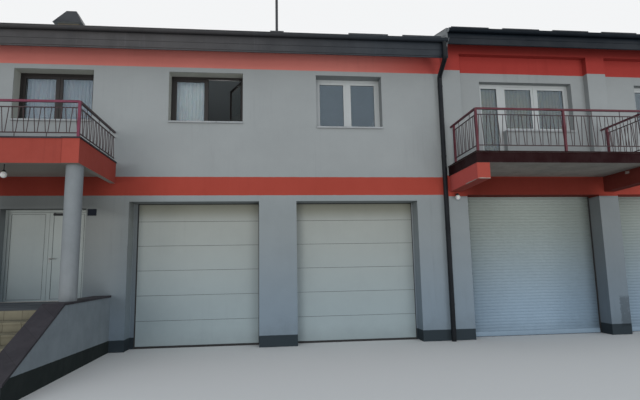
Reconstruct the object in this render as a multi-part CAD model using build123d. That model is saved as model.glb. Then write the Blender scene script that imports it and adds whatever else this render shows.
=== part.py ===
from build123d import *
import math
import os

# Two joined blocks of a fire station, millimetres, +Z up.
# X runs along the street front, Y runs into the building.
# The origin is at ground level, in the middle of the footprint of the two blocks.

# Footprint
left_block_width = 12000
right_block_width = 9060
building_depth = 10800
wall_thickness = 450
end_wall_thickness = 350
ground_floor_thickness = 40
floor_thickness = 250

# Storey levels
band_top = 4155
left_floor_top = 4155
right_floor_top = 4400
left_wall_top = 7650
right_wall_top = 7940

# Roofs
roof_pitch = 15.0
roof_thickness = 200
eave_overhang = 600
verge_overhang = 300
fascia_thickness = 30
left_fascia_depth = 460
right_fascia_depth = 400
gutter_radius = 75
gutter_wall = 6
gutter_drop = 40

# Wall pieces beside the doorways of the left block, which stretch alike when the block gets longer or shorter
end_pier = 1070
entry_pier = 985
middle_pier = 933
joint_pier = 812

# Garage openings of the left block
garage_width = 3130
garage_height = 3540
door_lap = 90
section_height = 610
section_count = 6
section_thickness = 40
section_gap = 4

# Entrance, its middle measured from the left end
entry_width = 1940
entry_floor = 1200
entry_height = 2180
entry_setback = 250
entry_frame_bar = 60
entry_frame_depth = 80
entry_floor_thickness = 250
entry_floor_reach = 400
leaf_thickness = 60
leaf_stile = 66
lock_stile = 98
leaf_rail = 42
leaf_field_depth = 6
leaf_gap = 6
left_leaf_share = 0.52
leaf_floor_gap = 8
hinge_radius = 9
hinge_height = 110
hinge_gap = 0.3
hinge_flap = 28
hinge_plate = 4
hinge_low = 220
hinge_middle = 1030
hinge_high = 1840
handle_height = 1000
handle_inset = 40
handle_length = 140
handle_stand = 50
rose_diameter = 52
rose_depth = 8
key_rose_diameter = 34
key_drop = 72
key_web = 14

# Windows: the first is measured from the left end, the others from the joint
window_head = 6880
window_bar = 60
sash_bar = 70
sash_setback = 12
window_depth = 70
left_window_setback = 320
right_window_setback = 370
pane_thickness = 24
sash_lap = 12
window_1_shift = 48
window_1_width = 1880
window_2_shift = 228
window_2_width = 1850
window_3_shift = -143
window_3_width = 1745
brown_sill = 5560
white_sill = 5465
brown_mullion = 30
white_mullion = 60
open_sash_depth = 48
open_sash_angle = 65
sill_thickness = 35
sill_projection = 45
sill_drip = 20
sill_fall = 12

# Right block front
pilaster_width = 550
infill_setback = 177
shutter_height = 3690
lintel_top = 4447
top_beam_bottom = 7600
terrace_door_offset = 610
terrace_door_width = 700
terrace_opening_width = 2700
terrace_sill = 5490
terrace_mullion = 60
terrace_door_stile = 120
terrace_door_foot = 210
bay_window_width = 1730
slat_pitch = 75
slat_depth = 8
shutter_thickness = 30
shutter_bar_height = 90
shutter_bar_thickness = 50

# Right balcony
right_balcony_reach = 1718
right_balcony_slab = 268
right_balcony_side = 80
console_width = 305
console_front_height = 372
console_wall_height = 412

# Left balcony
balcony_shift = 40
left_balcony_width = 3140
left_balcony_reach = 2284
parapet_thickness = 120
parapet_bottom = 3990
parapet_height = 500
corner_block_width = 330
corner_block_proud = 20
left_balcony_slab = 160
left_balcony_soffit = 4165
column_pad_depth = 500
coping_thickness = 30
coping_lap = 20

# Railings
post_size = 50
handrail_size = 45
rail_size = 20
bar_diameter = 16
bar_pitch = 200
bar_head_gap = 0.3
bar_foot_gap = 0.22
foot_stud_bars = 3
head_stud_pitch = 700
stud_size = 12
left_rail_top = 770
left_rail_second = 620
left_rail_low = 100
right_rail_top = 1055
right_rail_second = 890
right_rail_low = 155
railing_inset = 80
left_run_wall_gap = 100
divider_wall_gap = 20
divider_inset = 225
end_post_inset = 215

# Entrance stair
landing_reach = 2600
landing_thickness = 200
landing_beam = 300
step_count = 6
step_tread = 330
tread_slab = 40
tread_nosing = 20
cheek_width = 360
cheek_rise = 70
cheek_coping = 40
cheek_coping_lap = 20
cheek_end_height = 300
column_diameter = 330
column_setback = 290
column_cap_height = 60

# Chimney, mast and snow guards
chimney_offset = 1140
chimney_setback = 3200
chimney_width = 660
chimney_depth = 560
chimney_top = 9600
chimney_cap_height = 520
chimney_cap_lap = 110
mast_offset = 4400
mast_setback = 300
mast_diameter = 70
mast_height = 2400
mast_box_width = 360
mast_box_height = 260
guard_length = 1050
guard_height = 150
guard_thickness = 25
guard_pitch = 1440
guard_setback = 250
left_guard_count = 2
right_guard_count = 6

# Pipes, lamps and plate
pipe_diameter = 120
pipe_joint_offset = 75
pipe_top_offset = 115
pipe_stand_off = 60
pipe_knee_drop = 40
pipe_neck_fall = 260
pipe_band_low = 900
pipe_band_pitch = 1900
pipe_band_count = 4
pipe_band_height = 40
pipe_band_proud = 6
lamp_diameter = 135
lamp_stand_off = 90
lamp_1_offset = 250
lamp_1_height = 3610
porch_lamp_shift = -30
porch_lamp_reach = 1850
porch_lamp_height = 3840
lamp_base_size = 90
lamp_base_thickness = 14
lamp_neck_radius = 30
lamp_neck_height = 44
plate_width = 200
plate_height = 160
plate_thickness = 12
plate_offset = 1105
plate_z = 3285

# Derived places
total_width = left_block_width + right_block_width
x_left = -total_width / 2
x_joint = x_left + left_block_width
x_right = total_width / 2
y_front = -building_depth / 2
y_back = building_depth / 2
slope = math.tan(math.radians(roof_pitch))
roof_rise = roof_thickness / math.cos(math.radians(roof_pitch))
inner_front = y_front + wall_thickness
inner_back = y_back - wall_thickness
left_inner_x = x_left + end_wall_thickness
party_right_x = x_joint + end_wall_thickness
right_inner_x = x_right - end_wall_thickness
bay_width = (right_block_width - 3 * pilaster_width) / 2
bay_1_left = x_joint + pilaster_width
bay_1_right = bay_1_left + bay_width
bay_2_left = bay_1_right + pilaster_width
bay_2_right = bay_2_left + bay_width
pier_room = left_block_width - entry_width - 2 * garage_width
stretch = pier_room / (end_pier + entry_pier + middle_pier + joint_pier)
entry_x = x_left + end_pier * stretch + entry_width / 2
garage_right_x = x_joint - joint_pier * stretch - garage_width / 2
garage_left_x = garage_right_x - middle_pier * stretch - garage_width
window_1_x = entry_x + window_1_shift
window_2_x = garage_left_x + window_2_shift
window_3_x = garage_right_x + window_3_shift
balcony_axis = entry_x + balcony_shift
chimney_x = x_left + chimney_offset
chimney_y = y_front + chimney_setback
mast_x = x_joint - mast_offset
mast_y = y_front + mast_setback
plate_x = entry_x + plate_offset

os.makedirs("parts", exist_ok=True)
nodes = {}


def block(x0, x1, y0, y1, z0, z1):
    size = Box(x1 - x0, y1 - y0, z1 - z0)
    return Pos((x0 + x1) / 2, (y0 + y1) / 2, (z0 + z1) / 2) * size


def along_x(points, x0, x1):
    """Extrudes a closed (y, z) outline from x0 to x1."""
    outline = Polyline(*[(p[0], p[1]) for p in points], close=True)
    face = make_face(outline)
    placed = Plane(origin=(x0, 0, 0), x_dir=(0, 1, 0), z_dir=(1, 0, 0)) * face
    return extrude(placed, amount=x1 - x0)


def along_y(face, y0, y1):
    """Extrudes a face drawn in (x, z) from y0 to y1."""
    placed = Plane(origin=(0, y0, 0), x_dir=(1, 0, 0), z_dir=(0, -1, 0)) * face
    return extrude(placed, amount=-(y1 - y0))


def panel(x0, x1, z0, z1):
    return Pos((x0 + x1) / 2, (z0 + z1) / 2) * Rectangle(x1 - x0, z1 - z0)


def group(solids):
    """Keeps several solids of one node together without joining them."""
    return Compound(children=[s for one in solids for s in one.solids()])


def roof_under(y, wall_top):
    """Height of the underside of the roof over a place y."""
    inward = min(y - y_front, y_back - y)
    return wall_top + inward * slope


def front_wall(x0, x1, z0, wall_top, setback=0):
    face = y_front + setback
    outline = [(face, z0), (inner_front, z0), (inner_front, roof_under(inner_front, wall_top))]
    outline.append((face, roof_under(face, wall_top)))
    return along_x(outline, x0, x1)


def back_wall(x0, x1, wall_top):
    outline = [(inner_back, 0), (y_back, 0), (y_back, wall_top)]
    outline.append((inner_back, roof_under(inner_back, wall_top)))
    return along_x(outline, x0, x1)


def gable_wall(x0, x1, wall_top, y0, y1):
    outline = [(y0, 0), (y1, 0), (y1, roof_under(y1, wall_top)), (0, roof_under(0, wall_top))]
    outline.append((y0, roof_under(y0, wall_top)))
    return along_x(outline, x0, x1)


# Ground floor slabs, one in each block, inside the walls and under the doors
floor_left = block(left_inner_x, x_joint, inner_front, inner_back, 0, ground_floor_thickness)
floor_right = block(party_right_x, right_inner_x, inner_front, inner_back, 0, ground_floor_thickness)
nodes["ground_floor"] = group([floor_left, floor_right])

# Street front of the left block, split beside and over the entrance
entry_left = entry_x - entry_width / 2
entry_right = entry_x + entry_width / 2
entry_top = entry_floor + entry_height
garage_l0 = garage_left_x - garage_width / 2
garage_l1 = garage_left_x + garage_width / 2
garage_r0 = garage_right_x - garage_width / 2
garage_r1 = garage_right_x + garage_width / 2
nodes["entry_wall_left"] = block(x_left, entry_left, y_front, inner_front, 0, band_top)
nodes["entry_wall_right"] = block(entry_right, garage_l0, y_front, inner_front, 0, band_top)
nodes["entry_wall_head"] = block(entry_left, entry_right, y_front, inner_front, entry_top, band_top)
pier_middle = block(garage_l1, garage_r0, y_front, inner_front, 0, garage_height)
pier_right = block(garage_r1, x_joint, y_front, inner_front, 0, garage_height)
garage_lintel = block(garage_l0, x_joint, y_front, inner_front, garage_height, band_top)

# Upper street wall of the left block with three windows
left_windows = [
    (window_1_x, window_1_width, brown_sill),
    (window_2_x, window_2_width, brown_sill),
    (window_3_x, window_3_width, white_sill),
]
upper_left = front_wall(x_left, x_joint, band_top, left_wall_top)
for wx, ww, sill in left_windows:
    upper_left -= block(wx - ww / 2, wx + ww / 2, y_front - 1, inner_front + 1, sill, window_head)
nodes["upper_wall_left"] = upper_left

# Pilasters, lintels, top beam and recessed infill of the right block
pilasters = []
for px in (x_joint, bay_1_right, bay_2_right):
    pilasters.append(block(px, px + pilaster_width, y_front, inner_front, 0, top_beam_bottom))
nodes["front_piers"] = group([pier_middle, pier_right] + pilasters)
lintels = [garage_lintel]
for bx in (bay_1_left, bay_2_left):
    lintels.append(block(bx, bx + bay_width, y_front, inner_front, shutter_height, lintel_top))
nodes["door_lintels"] = group(lintels)
nodes["top_beam"] = front_wall(x_joint, x_right, top_beam_bottom, right_wall_top)


def infill(x0, x1):
    return block(x0, x1, y_front + infill_setback, inner_front, lintel_top, top_beam_bottom)


terrace_left = bay_1_left + terrace_door_offset
terrace_split = terrace_left + terrace_door_width
terrace_right = terrace_left + terrace_opening_width
infill_1 = infill(bay_1_left, bay_1_right)
infill_1 -= block(terrace_left, terrace_split, y_front, inner_front + 1, lintel_top - 1, window_head)
infill_1 -= block(terrace_split - 1, terrace_right, y_front, inner_front + 1, terrace_sill, window_head)
bay_window_x = (bay_2_left + bay_2_right) / 2
bay_window_left = bay_window_x - bay_window_width / 2
bay_window_right = bay_window_x + bay_window_width / 2
infill_2 = infill(bay_2_left, bay_2_right)
infill_2 -= block(bay_window_left, bay_window_right, y_front, inner_front + 1, terrace_sill, window_head)
nodes["infill_walls"] = group([infill_1, infill_2])

# End walls, the gable wall between the blocks and the back walls
nodes["gable_walls"] = group([
    gable_wall(x_left, left_inner_x, left_wall_top, inner_front, inner_back),
    gable_wall(x_joint, party_right_x, right_wall_top, inner_front, inner_back),
    gable_wall(right_inner_x, x_right, right_wall_top, inner_front, inner_back),
])
back_left = back_wall(x_left, x_joint, left_wall_top)
back_right = back_wall(x_joint, x_right, right_wall_top)
back_windows = []
for wx, ww, sill in left_windows:
    back_windows.append((wx, ww, brown_sill))
    back_left -= block(wx - ww / 2, wx + ww / 2, inner_back - 1, y_back + 1, brown_sill, window_head)
for bx in (bay_1_left, bay_2_left):
    wx = bx + bay_width / 2
    back_windows.append((wx, bay_window_width, terrace_sill))
    x0 = wx - bay_window_width / 2
    back_right -= block(x0, x0 + bay_window_width, inner_back - 1, y_back + 1, terrace_sill, window_head)
nodes["back_wall_left"] = back_left
nodes["back_wall_right"] = back_right

# Floors
upper_left_floor = block(
    left_inner_x, x_joint, inner_front, inner_back, left_floor_top - floor_thickness, left_floor_top
)
upper_right_floor = block(
    party_right_x, right_inner_x, inner_front, inner_back, right_floor_top - floor_thickness, right_floor_top
)
entry_floor_right = garage_l0 - entry_floor_reach
nodes["upper_floors"] = group([
    upper_left_floor,
    upper_right_floor,
    block(left_inner_x, entry_floor_right, inner_front, inner_back, entry_floor - entry_floor_thickness, entry_floor),
    block(entry_left, entry_right, y_front, inner_front, 0, entry_floor),
])


# Roofs: two slopes and the boards at their eaves, drawn as one section
def roof(x0, x1, wall_top, fascia_depth):
    y_eave = y_front - eave_overhang
    under_eave = wall_top - eave_overhang * slope
    top_eave = under_eave + roof_rise
    under_ridge = roof_under(0, wall_top)
    board_y = y_eave + fascia_thickness
    board_under = under_eave + fascia_thickness * slope
    half = [(y_eave, top_eave), (y_eave, top_eave - fascia_depth), (board_y, top_eave - fascia_depth)]
    half.append((board_y, board_under))
    outline = half + [(0, under_ridge)] + [(-y, z) for y, z in reversed(half)]
    outline.append((0, under_ridge + roof_rise))
    return along_x(outline, x0, x1)


nodes["roof_left"] = roof(x_left - verge_overhang, x_joint, left_wall_top, left_fascia_depth)
nodes["roof_right"] = roof(x_joint, x_right + verge_overhang, right_wall_top, right_fascia_depth)


# Half-round gutters along both eaves
def gutter(x0, x1, wall_top, side):
    top = wall_top - eave_overhang * slope + roof_rise - gutter_drop
    centre = y_front - eave_overhang - gutter_radius
    ring = Circle(gutter_radius) - Circle(gutter_radius - gutter_wall)
    half = ring - Pos(0, gutter_radius) * Rectangle(3 * gutter_radius, 2 * gutter_radius)
    placed = Plane(origin=(x0, side * centre, top), x_dir=(0, 1, 0), z_dir=(1, 0, 0)) * half
    channel = extrude(placed, amount=x1 - x0)
    plug = Circle(gutter_radius) - Pos(0, gutter_radius) * Rectangle(3 * gutter_radius, 2 * gutter_radius)
    for x in (x0, x1 - gutter_wall):
        cap = Plane(origin=(x, side * centre, top), x_dir=(0, 1, 0), z_dir=(1, 0, 0)) * plug
        channel += extrude(cap, amount=gutter_wall)
    return channel


left_ends = (x_left - verge_overhang, x_joint - 10)
right_ends = (x_joint + 10, x_right + verge_overhang)
gutters = [gutter(*left_ends, left_wall_top, s) for s in (1, -1)]
gutters += [gutter(*right_ends, right_wall_top, s) for s in (1, -1)]
nodes["gutters"] = group(gutters)


# Downpipes at the joint of the blocks, front and back, with a swan neck under the gutter
def downpipe(side):
    eave_top = left_wall_top - eave_overhang * slope + roof_rise
    gutter_y = y_front - eave_overhang - gutter_radius
    pipe_y = y_front - pipe_stand_off - pipe_diameter / 2
    x = x_joint - pipe_joint_offset
    top_x = x_joint - pipe_top_offset
    knee = eave_top - left_fascia_depth - pipe_diameter / 2 - pipe_knee_drop
    path = FilletPolyline(
        (top_x, side * gutter_y, eave_top - gutter_drop - gutter_radius),
        (top_x, side * gutter_y, knee),
        (x, side * pipe_y, knee - pipe_neck_fall),
        (x, side * pipe_y, 0),
        radius=pipe_diameter,
    )
    ring = Plane(origin=path @ 0, z_dir=path % 0) * Circle(pipe_diameter / 2)
    pipe = sweep(ring, path=path)
    for i in range(pipe_band_count):
        z = pipe_band_low + i * pipe_band_pitch
        band = Cylinder(pipe_diameter / 2 + pipe_band_proud, pipe_band_height)
        pipe += Pos(x, side * pipe_y, z) * band
        pipe += block(x - 12, x + 12, *sorted((side * pipe_y, side * y_front)), z - 12, z + 12)
    return pipe


nodes["downpipes"] = group([downpipe(1), downpipe(-1)])


# Sectional garage doors, six sections each, behind the wall
def sectional_door(x):
    x0 = x - garage_width / 2 - door_lap
    x1 = x + garage_width / 2 + door_lap
    sections = []
    for i in range(section_count):
        z0 = ground_floor_thickness + i * section_height
        z1 = z0 + section_height - section_gap
        sections.append(block(x0, x1, inner_front, inner_front + section_thickness, z0, z1))
    return sections


nodes["garage_doors"] = group(sectional_door(garage_left_x) + sectional_door(garage_right_x))


# Roller shutters: a ribbed curtain with a bottom bar
def curtain(x0, x1):
    foot = ground_floor_thickness
    z0 = foot + shutter_bar_height
    z1 = shutter_height + door_lap
    count = int((z1 - z0) / slat_pitch)
    bar_back = inner_front + shutter_bar_thickness
    curtain_back = inner_front + shutter_thickness
    profile = [(inner_front, foot), (bar_back, foot), (bar_back, z0), (curtain_back, z0), (curtain_back, z1)]
    profile.append((inner_front, z1))
    for i in range(count, 0, -1):
        z = z0 + i * slat_pitch
        if z < z1:
            profile.append((inner_front, z))
            profile.append((inner_front + slat_depth, z - slat_pitch * 0.12))
            profile.append((inner_front, z - slat_pitch * 0.24))
    return along_x(profile, x0 - door_lap, x1 + door_lap)


nodes["roller_shutters"] = group([
    curtain(bay_1_left, bay_1_right),
    curtain(bay_2_left, bay_2_right),
])

# Window frames, panes and sills
def frame_face(x0, x1, z0, z1, bar, mullions, width):
    face = panel(x0, x1, z0, z1)
    edges = [x0 + bar] + [m for x in mullions for m in (x - width / 2, x + width / 2)] + [x1 - bar]
    for a, b in zip(edges[0::2], edges[1::2]):
        face -= panel(a, b, z0 + bar, z1 - bar)
    return face, [(a, b) for a, b in zip(edges[0::2], edges[1::2])]


def closed_sash(x0, x1, z0, z1, y_face):
    """A sash ring inside one light of a frame, a little behind its face, and its pane."""
    ring = panel(x0, x1, z0, z1) - panel(x0 + sash_bar, x1 - sash_bar, z0 + sash_bar, z1 - sash_bar)
    sash = along_y(ring, y_face + sash_setback, y_face + window_depth)
    y0 = y_face + (sash_setback + window_depth - pane_thickness) / 2
    pane = block(x0 + sash_bar, x1 - sash_bar, y0, y0 + pane_thickness, z0 + sash_bar, z1 - sash_bar)
    return sash, pane


def window(x, width, sill, mullion, y_face, open_side=False):
    x0 = x - width / 2
    x1 = x + width / 2
    face, lights = frame_face(x0, x1, sill, window_head, window_bar, [x], mullion)
    frame = along_y(face, y_face, y_face + window_depth)
    panes = []
    for a, b in lights[:1] if open_side else lights:
        sash, pane = closed_sash(a, b, sill + window_bar, window_head - window_bar, y_face)
        frame += sash
        panes.append(pane)
    return frame, panes


y_left_window = y_front + left_window_setback
y_right_window = y_front + right_window_setback
frame_1, panes_1 = window(window_1_x, window_1_width, brown_sill, brown_mullion, y_left_window)
frame_2, panes_2 = window(window_2_x, window_2_width, brown_sill, brown_mullion, y_left_window, True)
frame_3, panes_3 = window(window_3_x, window_3_width, white_sill, white_mullion, y_left_window)
nodes["window_frames_brown"] = group([frame_1, frame_2])
bay_x = bay_window_x
frame_b, panes_b = window(bay_x, bay_window_width, terrace_sill, white_mullion, y_right_window)

# Balcony door and window of the right block in one frame
door_face = panel(terrace_left, terrace_split, lintel_top, window_head)
door_glass = (terrace_left + terrace_door_stile, terrace_split - terrace_door_stile)
door_glass_foot = lintel_top + terrace_door_foot
door_glass_head = window_head - terrace_door_stile
door_face -= panel(*door_glass, door_glass_foot, door_glass_head)
side_mid = terrace_split + (terrace_right - terrace_split) / 2
side_face, side_lights = frame_face(
    terrace_split, terrace_right, terrace_sill, window_head, window_bar, [side_mid], terrace_mullion
)
terrace_frame = along_y(door_face + side_face, y_right_window, y_right_window + window_depth)
pane_y = y_right_window + (sash_setback + window_depth - pane_thickness) / 2
terrace_panes = [block(*door_glass, pane_y, pane_y + pane_thickness, door_glass_foot, door_glass_head)]
for a, b in side_lights:
    sash, pane = closed_sash(a, b, terrace_sill + window_bar, window_head - window_bar, y_right_window)
    terrace_frame += sash
    terrace_panes.append(pane)

# The right sash of the middle window stands open into the room
sash_x0 = window_2_x + brown_mullion / 2 - sash_lap
sash_x1 = window_2_x + window_2_width / 2 - window_bar + sash_lap
sash_z0 = brown_sill + window_bar - sash_lap
sash_z1 = window_head - window_bar + sash_lap
sash_y = y_left_window + window_depth
open_bar = sash_bar + sash_lap
open_pane_y = sash_y + (open_sash_depth - pane_thickness) / 2
sash_face, sash_light = frame_face(sash_x0, sash_x1, sash_z0, sash_z1, open_bar, [], 0)
sash = along_y(sash_face, sash_y, sash_y + open_sash_depth)
sash_pane = block(
    sash_light[0][0],
    sash_light[0][1],
    open_pane_y,
    open_pane_y + pane_thickness,
    sash_z0 + open_bar,
    sash_z1 - open_bar,
)
sash_hinge = Axis((sash_x1, sash_y, 0), (0, 0, 1))
nodes["open_sash"] = sash.rotate(sash_hinge, -open_sash_angle)
open_pane = sash_pane.rotate(sash_hinge, -open_sash_angle)

front_panes = panes_1 + panes_2 + panes_3 + panes_b + terrace_panes + [open_pane]

rear_frames = []
rear_panes = []
for wx, ww, sill in back_windows:
    f, p = window(wx, ww, sill, white_mullion, y_left_window)
    rear_frames.append(mirror(f, about=Plane.XZ))
    rear_panes += [mirror(one, about=Plane.XZ) for one in p]
nodes["window_frames_white"] = group([frame_3, frame_b, terrace_frame] + rear_frames)
nodes["window_panes"] = group(front_panes + rear_panes)


def sill_board(x0, x1, z, y_face, y_frame):
    """A board with a drip edge that falls a little to the outside."""
    out = -sill_projection if y_frame > y_face else sill_projection
    section = [(y_frame, z), (y_frame, z + sill_thickness), (y_face + out, z + sill_thickness - sill_fall)]
    section.append((y_face + out, z - sill_drip))
    section.append((y_face + out * 0.6, z - sill_drip))
    section.append((y_face + out * 0.6, z))
    return along_x(section, x0, x1)


front_sills = []
for wx, ww, sill in left_windows:
    front_sills.append(sill_board(wx - ww / 2, wx + ww / 2, sill, y_front, y_left_window))
infill_face = y_front + infill_setback
front_sills.append(sill_board(terrace_split, terrace_right, terrace_sill, infill_face, y_right_window))
front_sills.append(sill_board(bay_window_left, bay_window_right, terrace_sill, infill_face, y_right_window))
for wx, ww, sill in back_windows:
    front_sills.append(sill_board(wx - ww / 2, wx + ww / 2, sill, y_back, y_back - left_window_setback))
nodes["window_sills"] = group(front_sills)

# Entrance frame and its two leaves
frame_y0 = y_front + entry_setback
frame_y1 = frame_y0 + entry_frame_depth
entry_face = panel(entry_left, entry_right, entry_floor, entry_top)
clear_left = entry_left + entry_frame_bar
clear_right = entry_right - entry_frame_bar
clear_top = entry_top - entry_frame_bar
entry_face -= panel(clear_left, clear_right, entry_floor - 1, clear_top)
nodes["entry_frame"] = along_y(entry_face, frame_y0, frame_y1)
leaf_y1 = frame_y1
leaf_y0 = leaf_y1 - leaf_thickness
leaf_z0 = entry_floor + leaf_floor_gap
leaf_z1 = clear_top - leaf_gap
leaves_width = clear_right - clear_left - 3 * leaf_gap
left_leaf_width = leaves_width * left_leaf_share
right_leaf_width = leaves_width - left_leaf_width
left_leaf_x = clear_left + leaf_gap
right_leaf_x = clear_right - leaf_gap - right_leaf_width


def leaf(x0, leaf_width, left_stile, right_stile):
    body = block(x0, x0 + leaf_width, leaf_y0, leaf_y1, leaf_z0, leaf_z1)
    sides = (x0 + left_stile, x0 + leaf_width - right_stile)
    ends = (leaf_z0 + leaf_rail, leaf_z1 - leaf_rail)
    body -= block(*sides, leaf_y0 - 1, leaf_y0 + leaf_field_depth, *ends)
    body -= block(*sides, leaf_y1 - leaf_field_depth, leaf_y1 + 1, *ends)
    return body


nodes["entry_leaf_left"] = leaf(left_leaf_x, left_leaf_width, leaf_stile, lock_stile)
nodes["entry_leaf_right"] = leaf(right_leaf_x, right_leaf_width, lock_stile, leaf_stile)

# Butt hinges: the lower knuckle is on the frame, the upper one on the leaf
hinge_y = frame_y1 + hinge_radius
left_pin_x = clear_left + leaf_gap / 2
right_pin_x = clear_right - leaf_gap / 2


def knuckle(pin_x, side, z0, z1):
    flap = block(*sorted((pin_x, pin_x + side * hinge_flap)), frame_y1, frame_y1 + hinge_plate, z0, z1)
    return flap + Pos(pin_x, hinge_y, (z0 + z1) / 2) * Cylinder(hinge_radius, z1 - z0)


def hinge_set(pin_x, side, upper):
    knuckles = []
    for level in (hinge_low, hinge_middle, hinge_high):
        middle = entry_floor + level
        z0 = middle + hinge_gap if upper else middle - hinge_height / 2
        z1 = middle + hinge_height / 2 if upper else middle
        knuckles.append(knuckle(pin_x, side, z0, z1))
    return knuckles


nodes["frame_hinges"] = group(hinge_set(left_pin_x, -1, False) + hinge_set(right_pin_x, 1, False))
nodes["leaf_hinges_left"] = group(hinge_set(left_pin_x, 1, True))
nodes["leaf_hinges_right"] = group(hinge_set(right_pin_x, -1, True))


def lever(x, sign, y, out):
    """Round rose, key rose and bent lever on one face of a leaf."""
    z = entry_floor + handle_height
    key_z = z - key_drop
    plate = block(x - key_web / 2, x + key_web / 2, *sorted((y, y + out * rose_depth)), key_z, z)
    for rose_z, diameter in ((z, rose_diameter), (key_z, key_rose_diameter)):
        plate += Pos(x, y + out * rose_depth / 2, rose_z) * Rot(90, 0, 0) * Cylinder(diameter / 2, rose_depth)
    grip_y = y + out * handle_stand
    path = FilletPolyline((x, y, z), (x, grip_y, z), (x + sign * handle_length, grip_y, z), radius=18)
    round_bar = Plane(origin=path @ 0, z_dir=path % 0) * Circle(9)
    return plate + sweep(round_bar, path=path)


handle_x = right_leaf_x + handle_inset
nodes["entry_handle"] = group([lever(handle_x, 1, leaf_y0, -1), lever(handle_x, 1, leaf_y1, 1)])

# Left balcony: floor slab, a red parapet that hangs lower, pads over its two columns, coping
bal_left = balcony_axis - left_balcony_width / 2
bal_right = balcony_axis + left_balcony_width / 2
bal_front = y_front - left_balcony_reach
parapet_top = parapet_bottom + parapet_height
ring_outer = block(bal_left, bal_right, bal_front, y_front, parapet_bottom, parapet_top)
for x in (bal_left, bal_right - corner_block_width):
    ring_outer += block(
        x, x + corner_block_width, bal_front - corner_block_proud, bal_front + 100, parapet_bottom, parapet_top
    )
well_left = bal_left + parapet_thickness
well_right = bal_right - parapet_thickness
well_front = bal_front + parapet_thickness
well = block(well_left, well_right, well_front, y_front + 1, parapet_bottom - 1, parapet_top + 1)
balcony_left = (ring_outer - well) + block(
    well_left, well_right, well_front, y_front, left_balcony_soffit, left_balcony_soffit + left_balcony_slab
)
for x0, x1 in ((bal_left + 10, bal_left + cheek_width), (bal_right - cheek_width, bal_right - 10)):
    balcony_left += block(x0, x1, bal_front + 10, bal_front + column_pad_depth, parapet_bottom, left_balcony_soffit + 10)
nodes["balcony_left"] = balcony_left
cope_z = parapet_top + coping_thickness
cope = block(
    bal_left - coping_lap, bal_right + coping_lap, bal_front - coping_lap, y_front, parapet_top, cope_z
)
for x in (bal_left - coping_lap, bal_right - corner_block_width - coping_lap):
    cope += block(
        x,
        x + corner_block_width + 2 * coping_lap,
        bal_front - corner_block_proud - coping_lap,
        bal_front,
        parapet_top,
        cope_z,
    )
cope -= block(
    well_left + coping_lap, well_right - coping_lap, well_front + coping_lap, y_front + 1, parapet_top - 1, cope_z + 1
)

# Right balcony: slab on two consoles
rb_left = x_joint + right_balcony_side
rb_right = bay_1_left + bay_width + pilaster_width - right_balcony_side
rb_front = y_front - right_balcony_reach
slab_bottom = lintel_top - right_balcony_slab
nodes["balcony_slab_right"] = block(rb_left, rb_right, rb_front, y_front, slab_bottom, lintel_top)
console_outline = [(rb_front, slab_bottom), (y_front, slab_bottom), (y_front, slab_bottom - console_wall_height)]
console_outline.append((rb_front, slab_bottom - console_front_height))
nodes["balcony_consoles"] = group([
    along_x(console_outline, rb_left, rb_left + console_width),
    along_x(console_outline, rb_right - console_width, rb_right),
])


# Railings: square posts, a handrail, two thin rails and zigzag bars between them
def rail_run(start, end, z0, levels, posts, head_phase=0.5, foot_studs=False, bars_to=None):
    """One straight run from start to end, both (x, y), standing at z0.

    The thin rails and bars stop at bars_to, a length along the run, where the handrail runs on past its last post.
    head_phase places the studs under the handrail, or is None where there are none.
    """
    top, second, low = levels
    length = math.hypot(end[0] - start[0], end[1] - start[1])
    place = Location(Plane(
        origin=(start[0], start[1], z0),
        x_dir=((end[0] - start[0]) / length, (end[1] - start[1]) / length, 0),
        z_dir=(0, 0, 1),
    ))
    half = handrail_size / 2
    run = block(0, length, -half, half, top - handrail_size, top)
    thin = rail_size / 2
    filled = bars_to or length
    run += block(0, filled, -thin, thin, second - thin, second + thin)
    run += block(0, filled, -thin, thin, low - thin, low + thin)
    side = post_size / 2
    for at in posts:
        run += block(at - side, at + side, -side, side, 0, top - thin)
    count = max(1, round(filled / bar_pitch))
    pitch = filled / count
    reach = second - low
    for i in range(count):
        x = (i + 0.5) * pitch
        for sign in (-1, 1):
            foot = (x + sign * pitch * (0.5 - bar_foot_gap / 2), 0, low)
            head = (x + sign * pitch * bar_head_gap / 2, 0, second)
            lean = math.degrees(math.atan2(head[0] - foot[0], reach))
            bar = Cylinder(bar_diameter / 2, math.hypot(head[0] - foot[0], reach))
            run += Pos((foot[0] + head[0]) / 2, 0, (low + second) / 2) * Rot(0, lean, 0) * bar
    stud = stud_size / 2
    if head_phase is not None:
        studs = max(1, round(filled / head_stud_pitch))
        for i in range(studs):
            at = (i + head_phase) * filled / studs
            if at > post_size:
                run += block(at - stud, at + stud, -stud, stud, second, top - half)
    if foot_studs:
        for i in range(foot_stud_bars, count, foot_stud_bars):
            run += block(i * pitch - stud, i * pitch + stud, -stud, stud, 0, low)
    return place * run


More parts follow.
